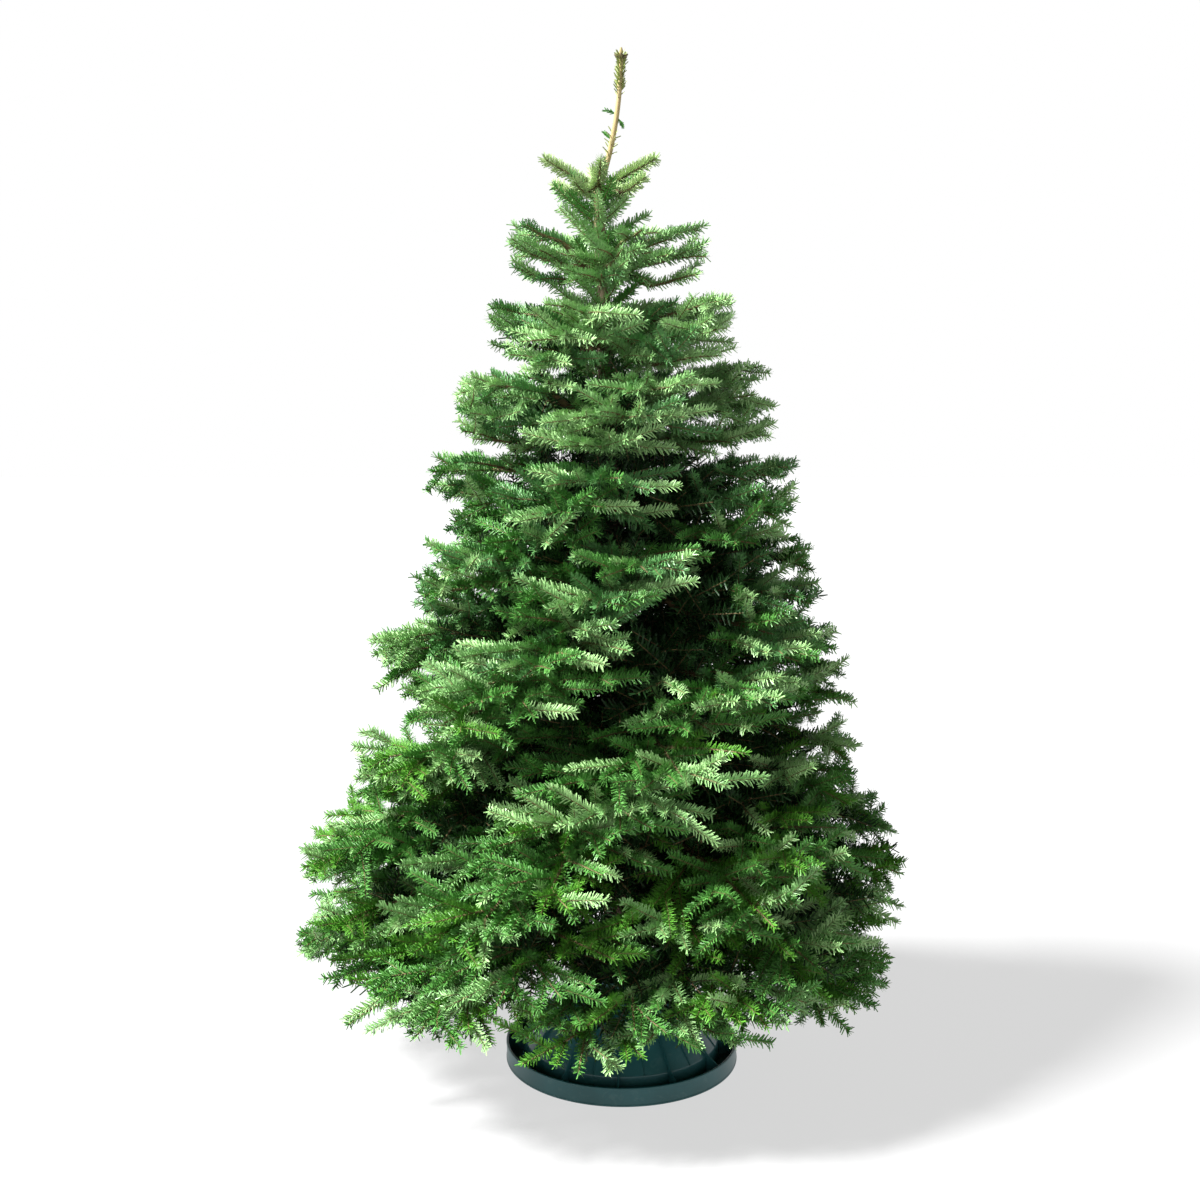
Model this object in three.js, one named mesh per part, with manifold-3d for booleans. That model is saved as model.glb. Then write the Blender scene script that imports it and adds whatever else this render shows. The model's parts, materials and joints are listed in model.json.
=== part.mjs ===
// A cut fir Christmas tree, 2 m tall, standing in a round moulded water stand.
// Millimetres, +Z up. The origin is on the floor under the middle of the stand, and -Y is the front.
// Nodes: trunk, stand_base, stand_bucket, clamp_screw_1..4, bough_1..6 (the lowest whorl, bare near
// the trunk) and one foliage mass for each bough of ten whorls, named whorl_N_foliage_M.
import * as THREE from "three";
import { mergeVertices } from "three/addons/utils/BufferGeometryUtils.js";
import Module from "manifold-3d";

const wasm = await Module();
wasm.setup();

// ---- Driving dimensions ----

const clearance = 0.3; // free gap between neighbouring solids

const stand = {
  radius: 237.5,
  rimHeight: 38,
  wall: 3.5,
  moatWidth: 36,
  moatInnerHeight: 42,
  coneTopRadius: 112,
  coneTopHeight: 150,
  ribs: 12,
  ribThickness: 3,
  ribProud: 5,
  firstRib: -92.5, // degrees, just left of the front
  segments: 24,
};

const bucket = {
  footRadius: 86,
  neckRadius: 95,
  flangeRadius: 111,
  flangeThickness: 4,
  height: 192,
  wall: 3.5,
  floor: 7,
  padRadius: 34,
  padHeight: 6,
};

const screw = {
  height: 172,
  shaftRadius: 4,
  bossRadius: 10,
  bossLength: 14,
  headRadius: 132, // from the stand's axis to the middle of the wing
  wingLength: 46,
  wingWidth: 14,
  wingThickness: 6,
  count: 4,
  first: 45,
};

const trunk = {
  foot: bucket.floor + bucket.padHeight + clearance,
  crownTop: 1738, // where the last whorl leaves and the leader starts
  tip: 2000,
  buttRadius: 40,
  crownTopRadius: 9.5,
  leaderRadius: 6,
  tipRadius: 4,
  flare: 5, // extra radius at the butt
  flareHeight: 70,
  lean: -48, // sideways, at the last whorl
  leaderReturn: 43, // how far the leader comes back towards the axis
  whorlSwell: 0.1,
  sides: 10,
  rings: 20,
};

// One row a whorl, from the top. left and right are the reaches of its boughs on those sides, rise is
// the slope at the trunk and bend the further rise or sag at the tip, both as shares of the reach.
const whorls = [
  { height: 1738, left: 98, right: 110, boughs: 4, turn: 4, rise: 0.44, bend: 0.08 },
  { height: 1590, left: 178, right: 206, boughs: 4, turn: 14, rise: 0.09, bend: 0.16 },
  { height: 1448, left: 232, right: 262, boughs: 4, turn: -25, rise: 0.08, bend: 0.04 },
  { height: 1296, left: 305, right: 322, boughs: 4, turn: 15, rise: 0.13, bend: 0 },
  { height: 1136, left: 360, right: 352, boughs: 4, turn: -20, rise: 0.12, bend: -0.1 },
  { height: 985, left: 396, right: 385, boughs: 5, turn: -18, rise: 0.13, bend: -0.17 },
  { height: 834, left: 468, right: 476, boughs: 5, turn: 22, rise: 0.1, bend: -0.2 },
  { height: 676, left: 552, right: 490, boughs: 5, turn: -18, rise: 0.1, bend: -0.26 },
  { height: 522, left: 615, right: 548, boughs: 6, turn: 0, rise: 0.05, bend: -0.28 },
  { height: 364, left: 620, right: 562, boughs: 6, turn: -4, rise: 0.12, bend: -0.38 },
];

const crown = {
  depth: 0.88, // front and back reach as a share of the sides'
  reachJitter: 0.05,
  turnJitter: 4, // degrees
  bendJitter: 0.03,
  depthBend: 0.72, // bend at the front and back as a share of the sides'
  bareShare: 0.3, // of the lowest boughs' reach, up to their foliage
  forkOut: 7, // how far off the trunk a mass forks into its stems
  smallReach: 200, // a shorter bough's mass has side twigs on its upper stem alone
  sectorGap: 4, // kept to the edge of each mass's own sector
  layer: 73, // half the thickness of the space that a mass keeps to, at most
  layerFoot: 24, // and for a bough of no reach
  layerGrowth: 0.15,
};

// Each mass forks close to its foot into three stems, one above the other. turn is in degrees off the
// bough's heading, height a share of the layer, and reach a share of the bough's. A plain stem has no
// side twigs.
const stems = [
  { turn: 13, height: 0.75, reach: 0.95 },
  { turn: -2, height: -0.04, reach: 1, plain: true },
  { turn: -15, height: -0.82, reach: 0.9 },
];

// The masses of the top whorl are fingers.
const topStems = [
  { turn: 0, height: 0.1, reach: 1, plain: true },
  { turn: -34, height: -0.85, reach: 0.96, plain: true },
];

const twig = {
  pitch: 260, // along a stem, between pairs of side twigs
  start: 0.2, // share of the reach where the first pair can leave
  end: 0.9,
  spread: 0.46, // longest side twig as a share of the reach
  angle: 56, // degrees from the stem at its foot
  angleAtTip: 40,
  tipLength: 40, // added to every side twig
  lengthJitter: 0.12,
  slope: 0.4, // share of its stem's slope that a twig takes up
  lift: 0.06, // rise of a side twig, as a share of its length
  liftJitter: 0.1,
  shortest: 45,
  girth: 0.024, // half-width of a twig as a share of its length
};

const needle = {
  reach: 43, // how far a tooth of needles stands out of its twig
  pitch: 170, // along the twig, between teeth
  sweep: 0.85, // how far a tooth leans forward, as a share of the pitch
};

// ---- Helpers ----

const radians = THREE.MathUtils.degToRad;
const lerp = THREE.MathUtils.lerp;
const up = new THREE.Vector3(0, 0, 1);

// A number from 0 to 1 that is always the same for the same two seeds.
function chance(seed, draw) {
  const wave = Math.sin(seed * 12.9898 + draw * 78.233) * 43758.5453;
  return wave - Math.floor(wave);
}

function spreadAbout(seed, draw, width) {
  return (2 * chance(seed, draw) - 1) * width;
}

function solidOf(geometry) {
  const bare = geometry.clone();
  for (const name of Object.keys(bare.attributes)) if (name !== "position") bare.deleteAttribute(name);
  const merged = mergeVertices(bare, 1e-3);
  const vertProperties = merged.attributes.position.array;
  const triVerts = new Uint32Array(merged.index.array);
  const made = new wasm.Manifold(new wasm.Mesh({ numProp: 3, vertProperties, triVerts }));
  if (made.volume() > 0) return made;
  for (let i = 0; i < triVerts.length; i += 3) {
    [triVerts[i + 1], triVerts[i + 2]] = [triVerts[i + 2], triVerts[i + 1]];
  }
  return new wasm.Manifold(new wasm.Mesh({ numProp: 3, vertProperties, triVerts }));
}

// A mesh for the scene from a solid.
function geometryOf(solid) {
  const { vertProperties, triVerts } = solid.getMesh();
  const geometry = new THREE.BufferGeometry();
  geometry.setAttribute("position", new THREE.BufferAttribute(vertProperties, 3));
  geometry.setIndex(new THREE.BufferAttribute(triVerts, 1));
  geometry.computeVertexNormals();
  return geometry;
}

function meshFromTriangles({ points, triangles }) {
  const geometry = new THREE.BufferGeometry();
  geometry.setAttribute("position", new THREE.Float32BufferAttribute(points.flatMap((p) => p.toArray()), 3));
  geometry.setIndex(triangles);
  return solidOf(geometry);
}

function lathe(profile, segments) {
  const points = profile.map(([r, z]) => new THREE.Vector2(r, z));
  return solidOf(new THREE.LatheGeometry(points, segments).rotateX(Math.PI / 2));
}

// A flat outline given as [radius, height] pairs, stood up in the vertical plane at that azimuth.
function radialPlate(outline, thickness, azimuth) {
  const shape = new THREE.Shape(outline.map(([r, z]) => new THREE.Vector2(r, z)));
  const plate = new THREE.ExtrudeGeometry(shape, { depth: thickness, bevelEnabled: false });
  plate.translate(0, 0, -thickness / 2).rotateX(Math.PI / 2).rotateZ(radians(azimuth));
  return solidOf(plate);
}

// A round limb along a path, with flat ends. radii has one entry a point.
function roundLimb(path, radii, sides) {
  const points = [];
  const triangles = [];
  path.forEach((centre, ring) => {
    const ahead = path[Math.min(ring + 1, path.length - 1)];
    const behind = path[Math.max(ring - 1, 0)];
    const direction = ahead.clone().sub(behind).normalize();
    const side = new THREE.Vector3(0, 1, 0).cross(direction);
    if (side.length() < 0.5) side.set(1, 0, 0).cross(direction);
    side.normalize();
    const other = direction.clone().cross(side);
    for (let k = 0; k < sides; k++) {
      const turn = (2 * Math.PI * k) / sides;
      const out = side.clone().multiplyScalar(Math.cos(turn)).addScaledVector(other, Math.sin(turn));
      points.push(centre.clone().addScaledVector(out, radii[ring]));
    }
  });
  const foot = points.push(path[0].clone()) - 1;
  const head = points.push(path[path.length - 1].clone()) - 1;
  const lastRing = (path.length - 1) * sides;
  for (let k = 0; k < sides; k++) {
    const next = (k + 1) % sides;
    for (let base = 0; base < lastRing; base += sides) {
      triangles.push(base + k, base + next, base + sides + next);
      triangles.push(base + k, base + sides + next, base + sides + k);
    }
    triangles.push(foot, next, k, head, lastRing + k, lastRing + next);
  }
  return meshFromTriangles({ points, triangles });
}

// A three-sided twig along a path, tapering to a point, whose three edges each carry a tooth of needles
// in every step. toothReach(share) gives a tooth's reach, and 0 leaves the edges plain.
const edgeTurns = [90, 203, 337].map(radians);

function toothedTwig(path, girth, toothReach) {
  const steps = path.length - 1;
  const points = [];
  const triangles = [];
  const frames = path.slice(0, steps).map((centre, step) => {
    const direction = path[step + 1].clone().sub(centre).normalize();
    const side = new THREE.Vector3().crossVectors(direction, up).normalize();
    return { side, top: new THREE.Vector3().crossVectors(side, direction) };
  });
  const outwards = ({ side, top }, k) =>
    side.clone().multiplyScalar(Math.cos(edgeTurns[k])).addScaledVector(top, Math.sin(edgeTurns[k]));
  frames.forEach((frame, step) => {
    const width = girth * (1 - (0.75 * step) / steps);
    const addCorner = (k) => points.push(path[step].clone().addScaledVector(outwards(frame, k), width));
    [0, 1, 2].forEach(addCorner);
  });
  points.push(path[steps].clone());
  const corner = (step, k) => (step === steps ? steps * 3 : step * 3 + (k % 3));
  const add = (a, b, c) => a !== b && b !== c && a !== c && triangles.push(a, b, c);
  for (let step = 0; step < steps; step++) {
    const reach = toothReach((step + 0.5) / steps);
    const root = path[step].clone().lerp(path[step + 1], needle.sweep);
    const addTooth = (k) => points.push(root.clone().addScaledVector(outwards(frames[step], k), reach)) - 1;
    const teeth = reach ? [0, 1, 2].map(addTooth) : [];
    for (let k = 0; k < 3; k++) {
      const [a, b] = [corner(step, k), corner(step + 1, k)];
      const [c, d] = [corner(step, k + 1), corner(step + 1, k + 1)];
      if (reach) {
        const [tooth, nextTooth] = [teeth[k], teeth[(k + 1) % 3]];
        add(a, c, tooth);
        add(tooth, c, b);
        add(b, nextTooth, d);
        add(b, c, nextTooth);
      } else {
        add(a, d, b);
        add(a, c, d);
      }
    }
  }
  add(0, 2, 1);
  return { points, triangles };
}

// ---- Trunk ----

function trunkCentre(height) {
  const share = Math.min(height / trunk.crownTop, 1);
  const leader = Math.max((height - trunk.crownTop) / (trunk.tip - trunk.crownTop), 0);
  const back = trunk.leaderReturn * (1 - Math.pow(1 - leader, 2.2));
  return new THREE.Vector3(trunk.lean * Math.pow(share, 1.6) + back, 0, height);
}

function trunkRadius(height) {
  if (height > trunk.crownTop) {
    const leader = (height - trunk.crownTop) / (trunk.tip - trunk.crownTop);
    return lerp(trunk.leaderRadius, trunk.tipRadius, leader);
  }
  const taper = lerp(trunk.buttRadius, trunk.crownTopRadius, height / trunk.crownTop);
  return taper + trunk.flare * Math.exp(-(height - trunk.foot) / trunk.flareHeight);
}

function trunkSolid(margin) {
  const heights = [trunk.foot, trunk.foot + 40];
  for (let ring = 1; ring <= trunk.rings; ring++) {
    heights.push(lerp(trunk.foot + 40, trunk.tip, ring / trunk.rings));
  }
  for (const whorl of whorls) {
    const away = heights.map((height) => Math.abs(height - whorl.height));
    heights[away.indexOf(Math.min(...away))] = whorl.height;
  }
  const path = heights.map(trunkCentre);
  const swell = (height) => (whorls.some((whorl) => whorl.height === height) ? 1 + trunk.whorlSwell : 1);
  const radii = heights.map((height) => trunkRadius(height) * swell(height) + margin);
  return roundLimb(path, radii, trunk.sides);
}

const trunkClear = trunkSolid(clearance);

// ---- Stand ----

function coneRadius(height) {
  const { radius, moatWidth, moatInnerHeight, coneTopRadius, coneTopHeight } = stand;
  const foot = radius - stand.wall - moatWidth;
  return lerp(foot, coneTopRadius, (height - moatInnerHeight) / (coneTopHeight - moatInnerHeight));
}

function standBase() {
  const { radius, rimHeight, wall, moatInnerHeight, coneTopHeight, segments } = stand;
  const hole = bucket.neckRadius + clearance;
  const moatFoot = coneRadius(moatInnerHeight) + 3;
  let made = lathe(
    [
      [hole, coneTopHeight],
      [stand.coneTopRadius, coneTopHeight],
      [coneRadius(moatInnerHeight), moatInnerHeight],
      [moatFoot, wall + 1],
      [radius - wall, wall + 1],
      [radius - wall, rimHeight - 1],
      [radius - wall + 1, rimHeight],
      [radius - 1, rimHeight],
      [radius, rimHeight - 1],
      [radius, 0],
      [moatFoot - wall, 0],
      [coneRadius(moatInnerHeight) - wall, moatInnerHeight - 1],
      [stand.coneTopRadius - 2.5, coneTopHeight - wall - 1],
      [hole, coneTopHeight - wall - 1],
      [hole, coneTopHeight],
    ],
    segments,
  );
  for (let rib = 0; rib < 2 * stand.ribs; rib++) {
    const azimuth = stand.firstRib + (180 * rib) / stand.ribs;
    made = made.add(rib % 2 ? shortRib(azimuth) : longRib(azimuth));
  }
  const lug = new THREE.BoxGeometry(9, 12, 12).translate(radius - wall - 3.5, 0, rimHeight - 10);
  return made.add(solidOf(lug.rotateZ(radians(stand.firstRib - 6))));
}

// From the outer wall across the moat and up the cone.
function longRib(azimuth) {
  const { radius, wall, ribProud, moatInnerHeight, coneTopHeight } = stand;
  const topHeight = coneTopHeight - 24;
  return radialPlate(
    [
      [radius - wall / 2, 2],
      [radius - wall / 2, stand.rimHeight - 6],
      [coneRadius(moatInnerHeight) + ribProud + 1, moatInnerHeight + 5],
      [coneRadius(topHeight) + ribProud, topHeight],
      [coneRadius(topHeight) - 1, topHeight + 3],
      [coneRadius(moatInnerHeight) - 1.5, moatInnerHeight - 1],
      [coneRadius(moatInnerHeight) + 1.5, 2],
    ],
    stand.ribThickness,
    azimuth,
  );
}

// On the cone alone.
function shortRib(azimuth) {
  const { ribProud, moatInnerHeight, coneTopHeight } = stand;
  const topHeight = coneTopHeight - 44;
  return radialPlate(
    [
      [coneRadius(moatInnerHeight) - 1.5, moatInnerHeight],
      [coneRadius(moatInnerHeight) + 1.5, moatInnerHeight + 1],
      [coneRadius(topHeight) + ribProud - 2, topHeight],
      [coneRadius(topHeight) - 1, topHeight + 2],
    ],
    stand.ribThickness - 0.8,
    azimuth,
  );
}

function standBucket() {
  const { footRadius, neckRadius, flangeRadius, flangeThickness, height, wall, floor } = bucket;
  const seat = stand.coneTopHeight + clearance;
  const rim = neckRadius + 3;
  let made = lathe(
    [
      [0, 0],
      [footRadius, 0],
      [neckRadius, seat - 6],
      [neckRadius, seat],
      [flangeRadius, seat],
      [flangeRadius, seat + flangeThickness],
      [neckRadius + 1.5, seat + flangeThickness],
      [rim, height],
      [rim - wall, height],
      [neckRadius - wall, seat],
      [footRadius - wall, floor],
      [bucket.padRadius + 2, floor],
      [bucket.padRadius, floor + bucket.padHeight],
      [0, floor + bucket.padHeight],
    ],
    stand.segments,
  );
  for (let k = 0; k < screw.count; k++) {
    const middle = rim - wall / 2;
    const half = screw.bossLength / 2;
    const boss = radialCylinder(screw.bossRadius, middle - half, middle + half, k, 8);
    const hole = radialCylinder(screw.shaftRadius + clearance, middle - 2 * half, middle + 2 * half, k, 8);
    made = made.add(boss).subtract(hole);
  }
  return made;
}

// A cylinder along the axis of clamp screw k, from one distance off the stand's axis to another.
function radialCylinder(radius, from, to, k, sides) {
  const cylinder = new THREE.CylinderGeometry(radius, radius, to - from, sides).rotateZ(Math.PI / 2);
  cylinder.translate((from + to) / 2, 0, screw.height);
  return solidOf(cylinder.rotateZ(radians(screw.first + (360 * k) / screw.count)));
}

function clampScrew(k) {
  const { wingLength, wingWidth, wingThickness, headRadius } = screw;
  const half = wingLength / 2 - wingWidth / 2;
  const outline = new THREE.Shape();
  outline.absarc(half, 0, wingWidth / 2, -Math.PI / 2, Math.PI / 2);
  outline.absarc(-half, 0, wingWidth / 2, Math.PI / 2, (3 * Math.PI) / 2);
  const settings = { depth: wingThickness, bevelEnabled: false, curveSegments: 3 };
  const wing = new THREE.ExtrudeGeometry(outline, settings).translate(0, 0, -wingThickness / 2);
  wing.rotateY(Math.PI / 2).rotateX(radians(20 + 55 * k)).translate(headRadius, 0, screw.height);
  wing.rotateZ(radians(screw.first + (360 * k) / screw.count));
  const shaft = radialCylinder(screw.shaftRadius, trunk.buttRadius / 2, headRadius, k, 8);
  return shaft.add(solidOf(wing)).subtract(trunkClear);
}

// ---- Boughs and their foliage ----

function smooth(share) {
  const t = Math.min(Math.max(share, 0), 1);
  return t * t * (3 - 2 * t);
}

// Everything that tells one bough from the next. The axis leaves the trunk's centre line.
function boughOf(row, number) {
  const whorl = whorls[row];
  const seed = (row + 1) * 10 + number;
  const azimuth = whorl.turn + (360 * number) / whorl.boughs + spreadAbout(seed, 1, crown.turnJitter);
  const heading = new THREE.Vector3(Math.cos(radians(azimuth)), Math.sin(radians(azimuth)), 0);
  const sideways = lerp(whorl.left, whorl.right, (1 + heading.x) / 2);
  const flatness = lerp(1, crown.depth, heading.y * heading.y);
  const reach = sideways * flatness * (1 + spreadAbout(seed, 2, crown.reachJitter));
  const level = lerp(1, crown.depthBend, heading.y * heading.y);
  const bend = whorl.bend * level + spreadAbout(seed, 3, crown.bendJitter);
  const root = trunkCentre(whorl.height);
  const at = (share) =>
    root
      .clone()
      .addScaledVector(heading, reach * share)
      .add(new THREE.Vector3(0, 0, reach * (whorl.rise * share + bend * share * share)));
  const girth = 4 + reach * 0.016;
  const layer = Math.min(crown.layer, crown.layerFoot + reach * crown.layerGrowth);
  const bare = row === whorls.length - 1 ? crown.bareShare : 0;
  const fork = Math.max(bare, (trunkRadius(whorl.height) + crown.forkOut) / reach);
  return { row, seed, heading, reach, root, at, girth, layer, bare, fork, sector: Math.PI / whorl.boughs };
}

// Whether a point lies in the bough's own sector and layer of the crown.
function inSpace(bough, point) {
  const flat = point.clone().sub(bough.root);
  const out = flat.dot(bough.heading);
  const aside = Math.abs(flat.x * bough.heading.y - flat.y * bough.heading.x);
  if (out <= 0 || Math.hypot(out, aside) > bough.reach * 1.03) return false;
  const toEdge = out * Math.sin(bough.sector) - aside * Math.cos(bough.sector);
  const height = Math.abs(point.z - bough.at(Math.min(out / bough.reach, 1)).z);
  return toEdge > crown.sectorGap && height < bough.layer;
}

// The line of one of a bough's stems, by share of its reach. The stems part from bough.fork outwards.
function stemLine(bough, stem) {
  return (share) => {
    const parting = share * stem.reach - bough.fork;
    const point = bough.at(share * stem.reach).sub(bough.root);
    point.applyAxisAngle(up, radians(stem.turn * smooth(parting * 3))).add(bough.root);
    point.z += stem.height * bough.layer * smooth(parting * 2.5);
    return point;
  };
}

// A stem's side twigs, which leave in pairs and are longest a third of the way out. Each is shortened
// until it fits the bough's space, or skipped.
function sideTwigs(bough, stem, line, start, toothReach) {
  const reach = bough.reach * stem.reach;
  const pairs = Math.max(1, Math.round((reach * (twig.end - start)) / twig.pitch));
  const found = [];
  for (let pair = 0; pair < pairs; pair++) {
    for (const hand of [-1, 1]) {
      const draw = stem.turn + 10 + pair * 2 + (hand + 1) / 2;
      const share = start + (twig.end - start) * ((pair + 0.5 + 0.16 * hand) / pairs);
      const foot = line(share);
      const swing = lerp(twig.angle, twig.angleAtTip, share) + spreadAbout(bough.seed, draw, 6);
      const along = line(share + 0.02).sub(foot).normalize();
      along.applyAxisAngle(up, hand * radians(swing));
      along.z = along.z * twig.slope + twig.lift + spreadAbout(bough.seed, draw + 100, twig.liftJitter);
      const fullness = Math.pow(1 - share, 0.75) * smooth((share + 0.12) / 0.36);
      const longer = 1 + spreadAbout(bough.seed, draw + 200, twig.lengthJitter);
      let length = twig.spread * reach * fullness * longer + twig.tipLength;
      while (length > twig.shortest) {
        const place = (share) => foot.clone().addScaledVector(along, length * share);
        const path = pathAlong(place, 0, 1, toothCount(length));
        const made = toothedTwig(path, 3 + length * twig.girth, toothReach);
        if (made.points.every((point) => inSpace(bough, point))) {
          found.push(made);
          break;
        }
        length *= 0.92;
      }
    }
  }
  return found;
}

function toothCount(length) {
  return Math.min(Math.max(Math.round(length / needle.pitch), 1), 3);
}

// Points on a line that is given by share, from one share to another.
function pathAlong(line, from, to, steps) {
  return Array.from({ length: steps + 1 }, (_, k) => line(lerp(from, to, k / steps)));
}

// The bare part of a bough, fattened and lengthened by a margin.
function limb(bough, margin) {
  const steps = 3;
  const path = pathAlong(bough.at, 0, bough.bare + margin / bough.reach, steps);
  const radii = path.map((_, k) => lerp(bough.girth + 3, bough.girth + 1.5, k / steps) + margin);
  return roundLimb(path, radii, 7);
}

// The shares where a stem bends: its foot, its fork and perhaps one more, and the teeth of its end,
// which the stem runs into a little way.
function stemKnots(bough, stem) {
  const foot = Math.max(bough.bare - 0.02, 0) / stem.reach;
  const fork = bough.fork / stem.reach;
  const endLength = Math.min(needle.pitch * 2, bough.reach * 0.4);
  const end = 1 - endLength / (bough.reach * stem.reach);
  const middle = bough.reach > 520 ? [lerp(fork, end, 0.5)] : [];
  const teeth = toothCount(endLength);
  const inner = [foot, fork, ...middle, end + 0.08];
  return { inner, outer: pathAlong((share) => share, end, 1, teeth) };
}

// A line with straight stretches between the knots of another.
function straightened(line, knots) {
  return (share) => {
    const next = Math.max(knots.findIndex((knot) => knot >= share), 1);
    const [from, to] = [knots[next - 1], knots[next]];
    return line(from).lerp(line(to), (share - from) / (to - from));
  };
}

// A mass of foliage: its stems with their side twigs, from the trunk or the end of its bough outwards.
function foliage(bough) {
  const small = Math.min(0.4 + bough.reach / 500, 1);
  const bare = () => 0;
  const toothReach = (share) => needle.reach * small * (1.12 - 0.4 * share);
  const parts = [];
  for (const stem of bough.row ? stems : topStems) {
    const { inner, outer } = stemKnots(bough, stem);
    const line = straightened(stemLine(bough, stem), [...inner, ...outer.slice(1)]);
    parts.push(toothedTwig(inner.map(line), bough.girth, bare));
    parts.push(toothedTwig(outer.map(line), bough.girth * 0.8, toothReach));
    const start = Math.max(twig.start, inner[0] + 0.08);
    const plain = stem.plain || (stem.height < 0 && bough.reach < crown.smallReach);
    if (!plain) parts.push(...sideTwigs(bough, stem, line, start, toothReach));
  }
  return parts.map(meshFromTriangles).reduce((all, part) => all.add(part));
}

// ---- The tree ----

const finishes = {
  bark: new THREE.MeshStandardMaterial({ name: "bark", color: 0x6b5a45, roughness: 0.9 }),
  needles: new THREE.MeshStandardMaterial({ name: "needles", color: 0x4c8038, roughness: 0.55 }),
  plastic: new THREE.MeshStandardMaterial({ name: "stand_plastic", color: 0x1f4f4c, roughness: 0.42 }),
  steel: new THREE.MeshStandardMaterial({ name: "screw_steel", color: 0xa9adb0, metalness: 1 }),
};
finishes.steel.roughness = 0.35;

const tree = new THREE.Group();

function place(name, solid, finish) {
  const mesh = new THREE.Mesh(geometryOf(solid), finish);
  mesh.name = name;
  tree.add(mesh);
}

place("stand_base", standBase(), finishes.plastic);
place("stand_bucket", standBucket(), finishes.plastic);
for (let k = 0; k < screw.count; k++) place(`clamp_screw_${k + 1}`, clampScrew(k), finishes.steel);
place("trunk", trunkSolid(0), finishes.bark);

whorls.forEach((whorl, row) => {
  for (let number = 0; number < whorl.boughs; number++) {
    const bough = boughOf(row, number);
    const name = `whorl_${row + 1}_foliage_${number + 1}`;
    const mass = foliage(bough).subtract(trunkClear);
    if (bough.bare) {
      place(`bough_${number + 1}`, limb(bough, 0).subtract(trunkClear), finishes.bark);
      place(name, mass.subtract(limb(bough, clearance)), finishes.needles);
    } else place(name, mass, finishes.needles);
  }
});

export default tree;
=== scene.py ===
import json
from math import cos, degrees, exp, hypot, inf, pi, radians, sin, sqrt, tan

import bmesh
import bpy
import numpy as np
from mathutils import Matrix, Vector, noise

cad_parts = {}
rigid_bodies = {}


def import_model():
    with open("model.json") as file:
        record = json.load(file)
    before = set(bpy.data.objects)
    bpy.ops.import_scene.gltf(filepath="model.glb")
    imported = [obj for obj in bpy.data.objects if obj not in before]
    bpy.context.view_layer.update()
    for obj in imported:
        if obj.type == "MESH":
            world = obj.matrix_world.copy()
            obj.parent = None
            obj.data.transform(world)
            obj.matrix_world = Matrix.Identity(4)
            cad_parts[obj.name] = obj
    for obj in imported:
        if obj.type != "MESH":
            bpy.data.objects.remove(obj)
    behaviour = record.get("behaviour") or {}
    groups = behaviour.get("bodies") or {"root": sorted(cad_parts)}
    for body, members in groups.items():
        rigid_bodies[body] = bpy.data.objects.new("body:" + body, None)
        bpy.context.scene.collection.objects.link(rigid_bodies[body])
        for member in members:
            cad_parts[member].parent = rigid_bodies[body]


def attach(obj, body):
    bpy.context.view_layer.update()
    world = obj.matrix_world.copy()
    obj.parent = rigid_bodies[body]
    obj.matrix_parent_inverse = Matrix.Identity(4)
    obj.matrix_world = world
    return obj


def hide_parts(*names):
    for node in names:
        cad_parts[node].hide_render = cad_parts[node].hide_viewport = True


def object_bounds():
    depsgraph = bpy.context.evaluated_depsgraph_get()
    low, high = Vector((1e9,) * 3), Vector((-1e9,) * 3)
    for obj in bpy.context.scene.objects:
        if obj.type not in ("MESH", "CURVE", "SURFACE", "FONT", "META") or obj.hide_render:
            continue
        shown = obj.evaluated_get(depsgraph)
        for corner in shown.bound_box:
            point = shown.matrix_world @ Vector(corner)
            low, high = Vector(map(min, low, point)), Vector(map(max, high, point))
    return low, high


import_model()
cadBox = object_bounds()
scene = bpy.context.scene

camera = dict(side=-0.0445, back=3.127, height=1.44, pitchDown=8.9, lens=48.0)


def placed(name, data):
    made = bpy.data.objects.new(name, data)
    scene.collection.objects.link(made)
    return made


def makeCamera(settings):
    data = bpy.data.cameras.new("camera")
    data.lens = settings["lens"]
    data.sensor_width = 36.0
    eye = placed("camera", data)
    eye.location = (settings["side"], -settings["back"], settings["height"])
    eye.rotation_euler = (radians(90 - settings["pitchDown"]), 0, 0)
    scene.camera = eye


makeCamera(camera)
print("camera placed")


# A Value's operator, and the one that serves when the Value stands on the right.
def operators(operation):
    return (
        lambda value, other: value.tree.math(operation, value, other),
        lambda value, other: value.tree.math(operation, other, value),
    )


class Value:  # a socket that can stand in an expression
    def __init__(self, tree, socket):
        self.tree = tree
        self.socket = socket

    __add__, __radd__ = operators("ADD")
    __sub__, __rsub__ = operators("SUBTRACT")
    __mul__, __rmul__ = operators("MULTIPLY")
    __pow__ = operators("POWER")[0]


# A short way to add one kind of node: its values are given in the order of these sockets.
def shorthand(kind, labels, settings=None, out=0):
    return lambda tree, *values: tree.add(kind, dict(zip(labels, values)), settings, out)


def vectorMath(operation, labels=(0, 1)):
    return shorthand("ShaderNodeVectorMath", labels, {"operation": operation})


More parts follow.
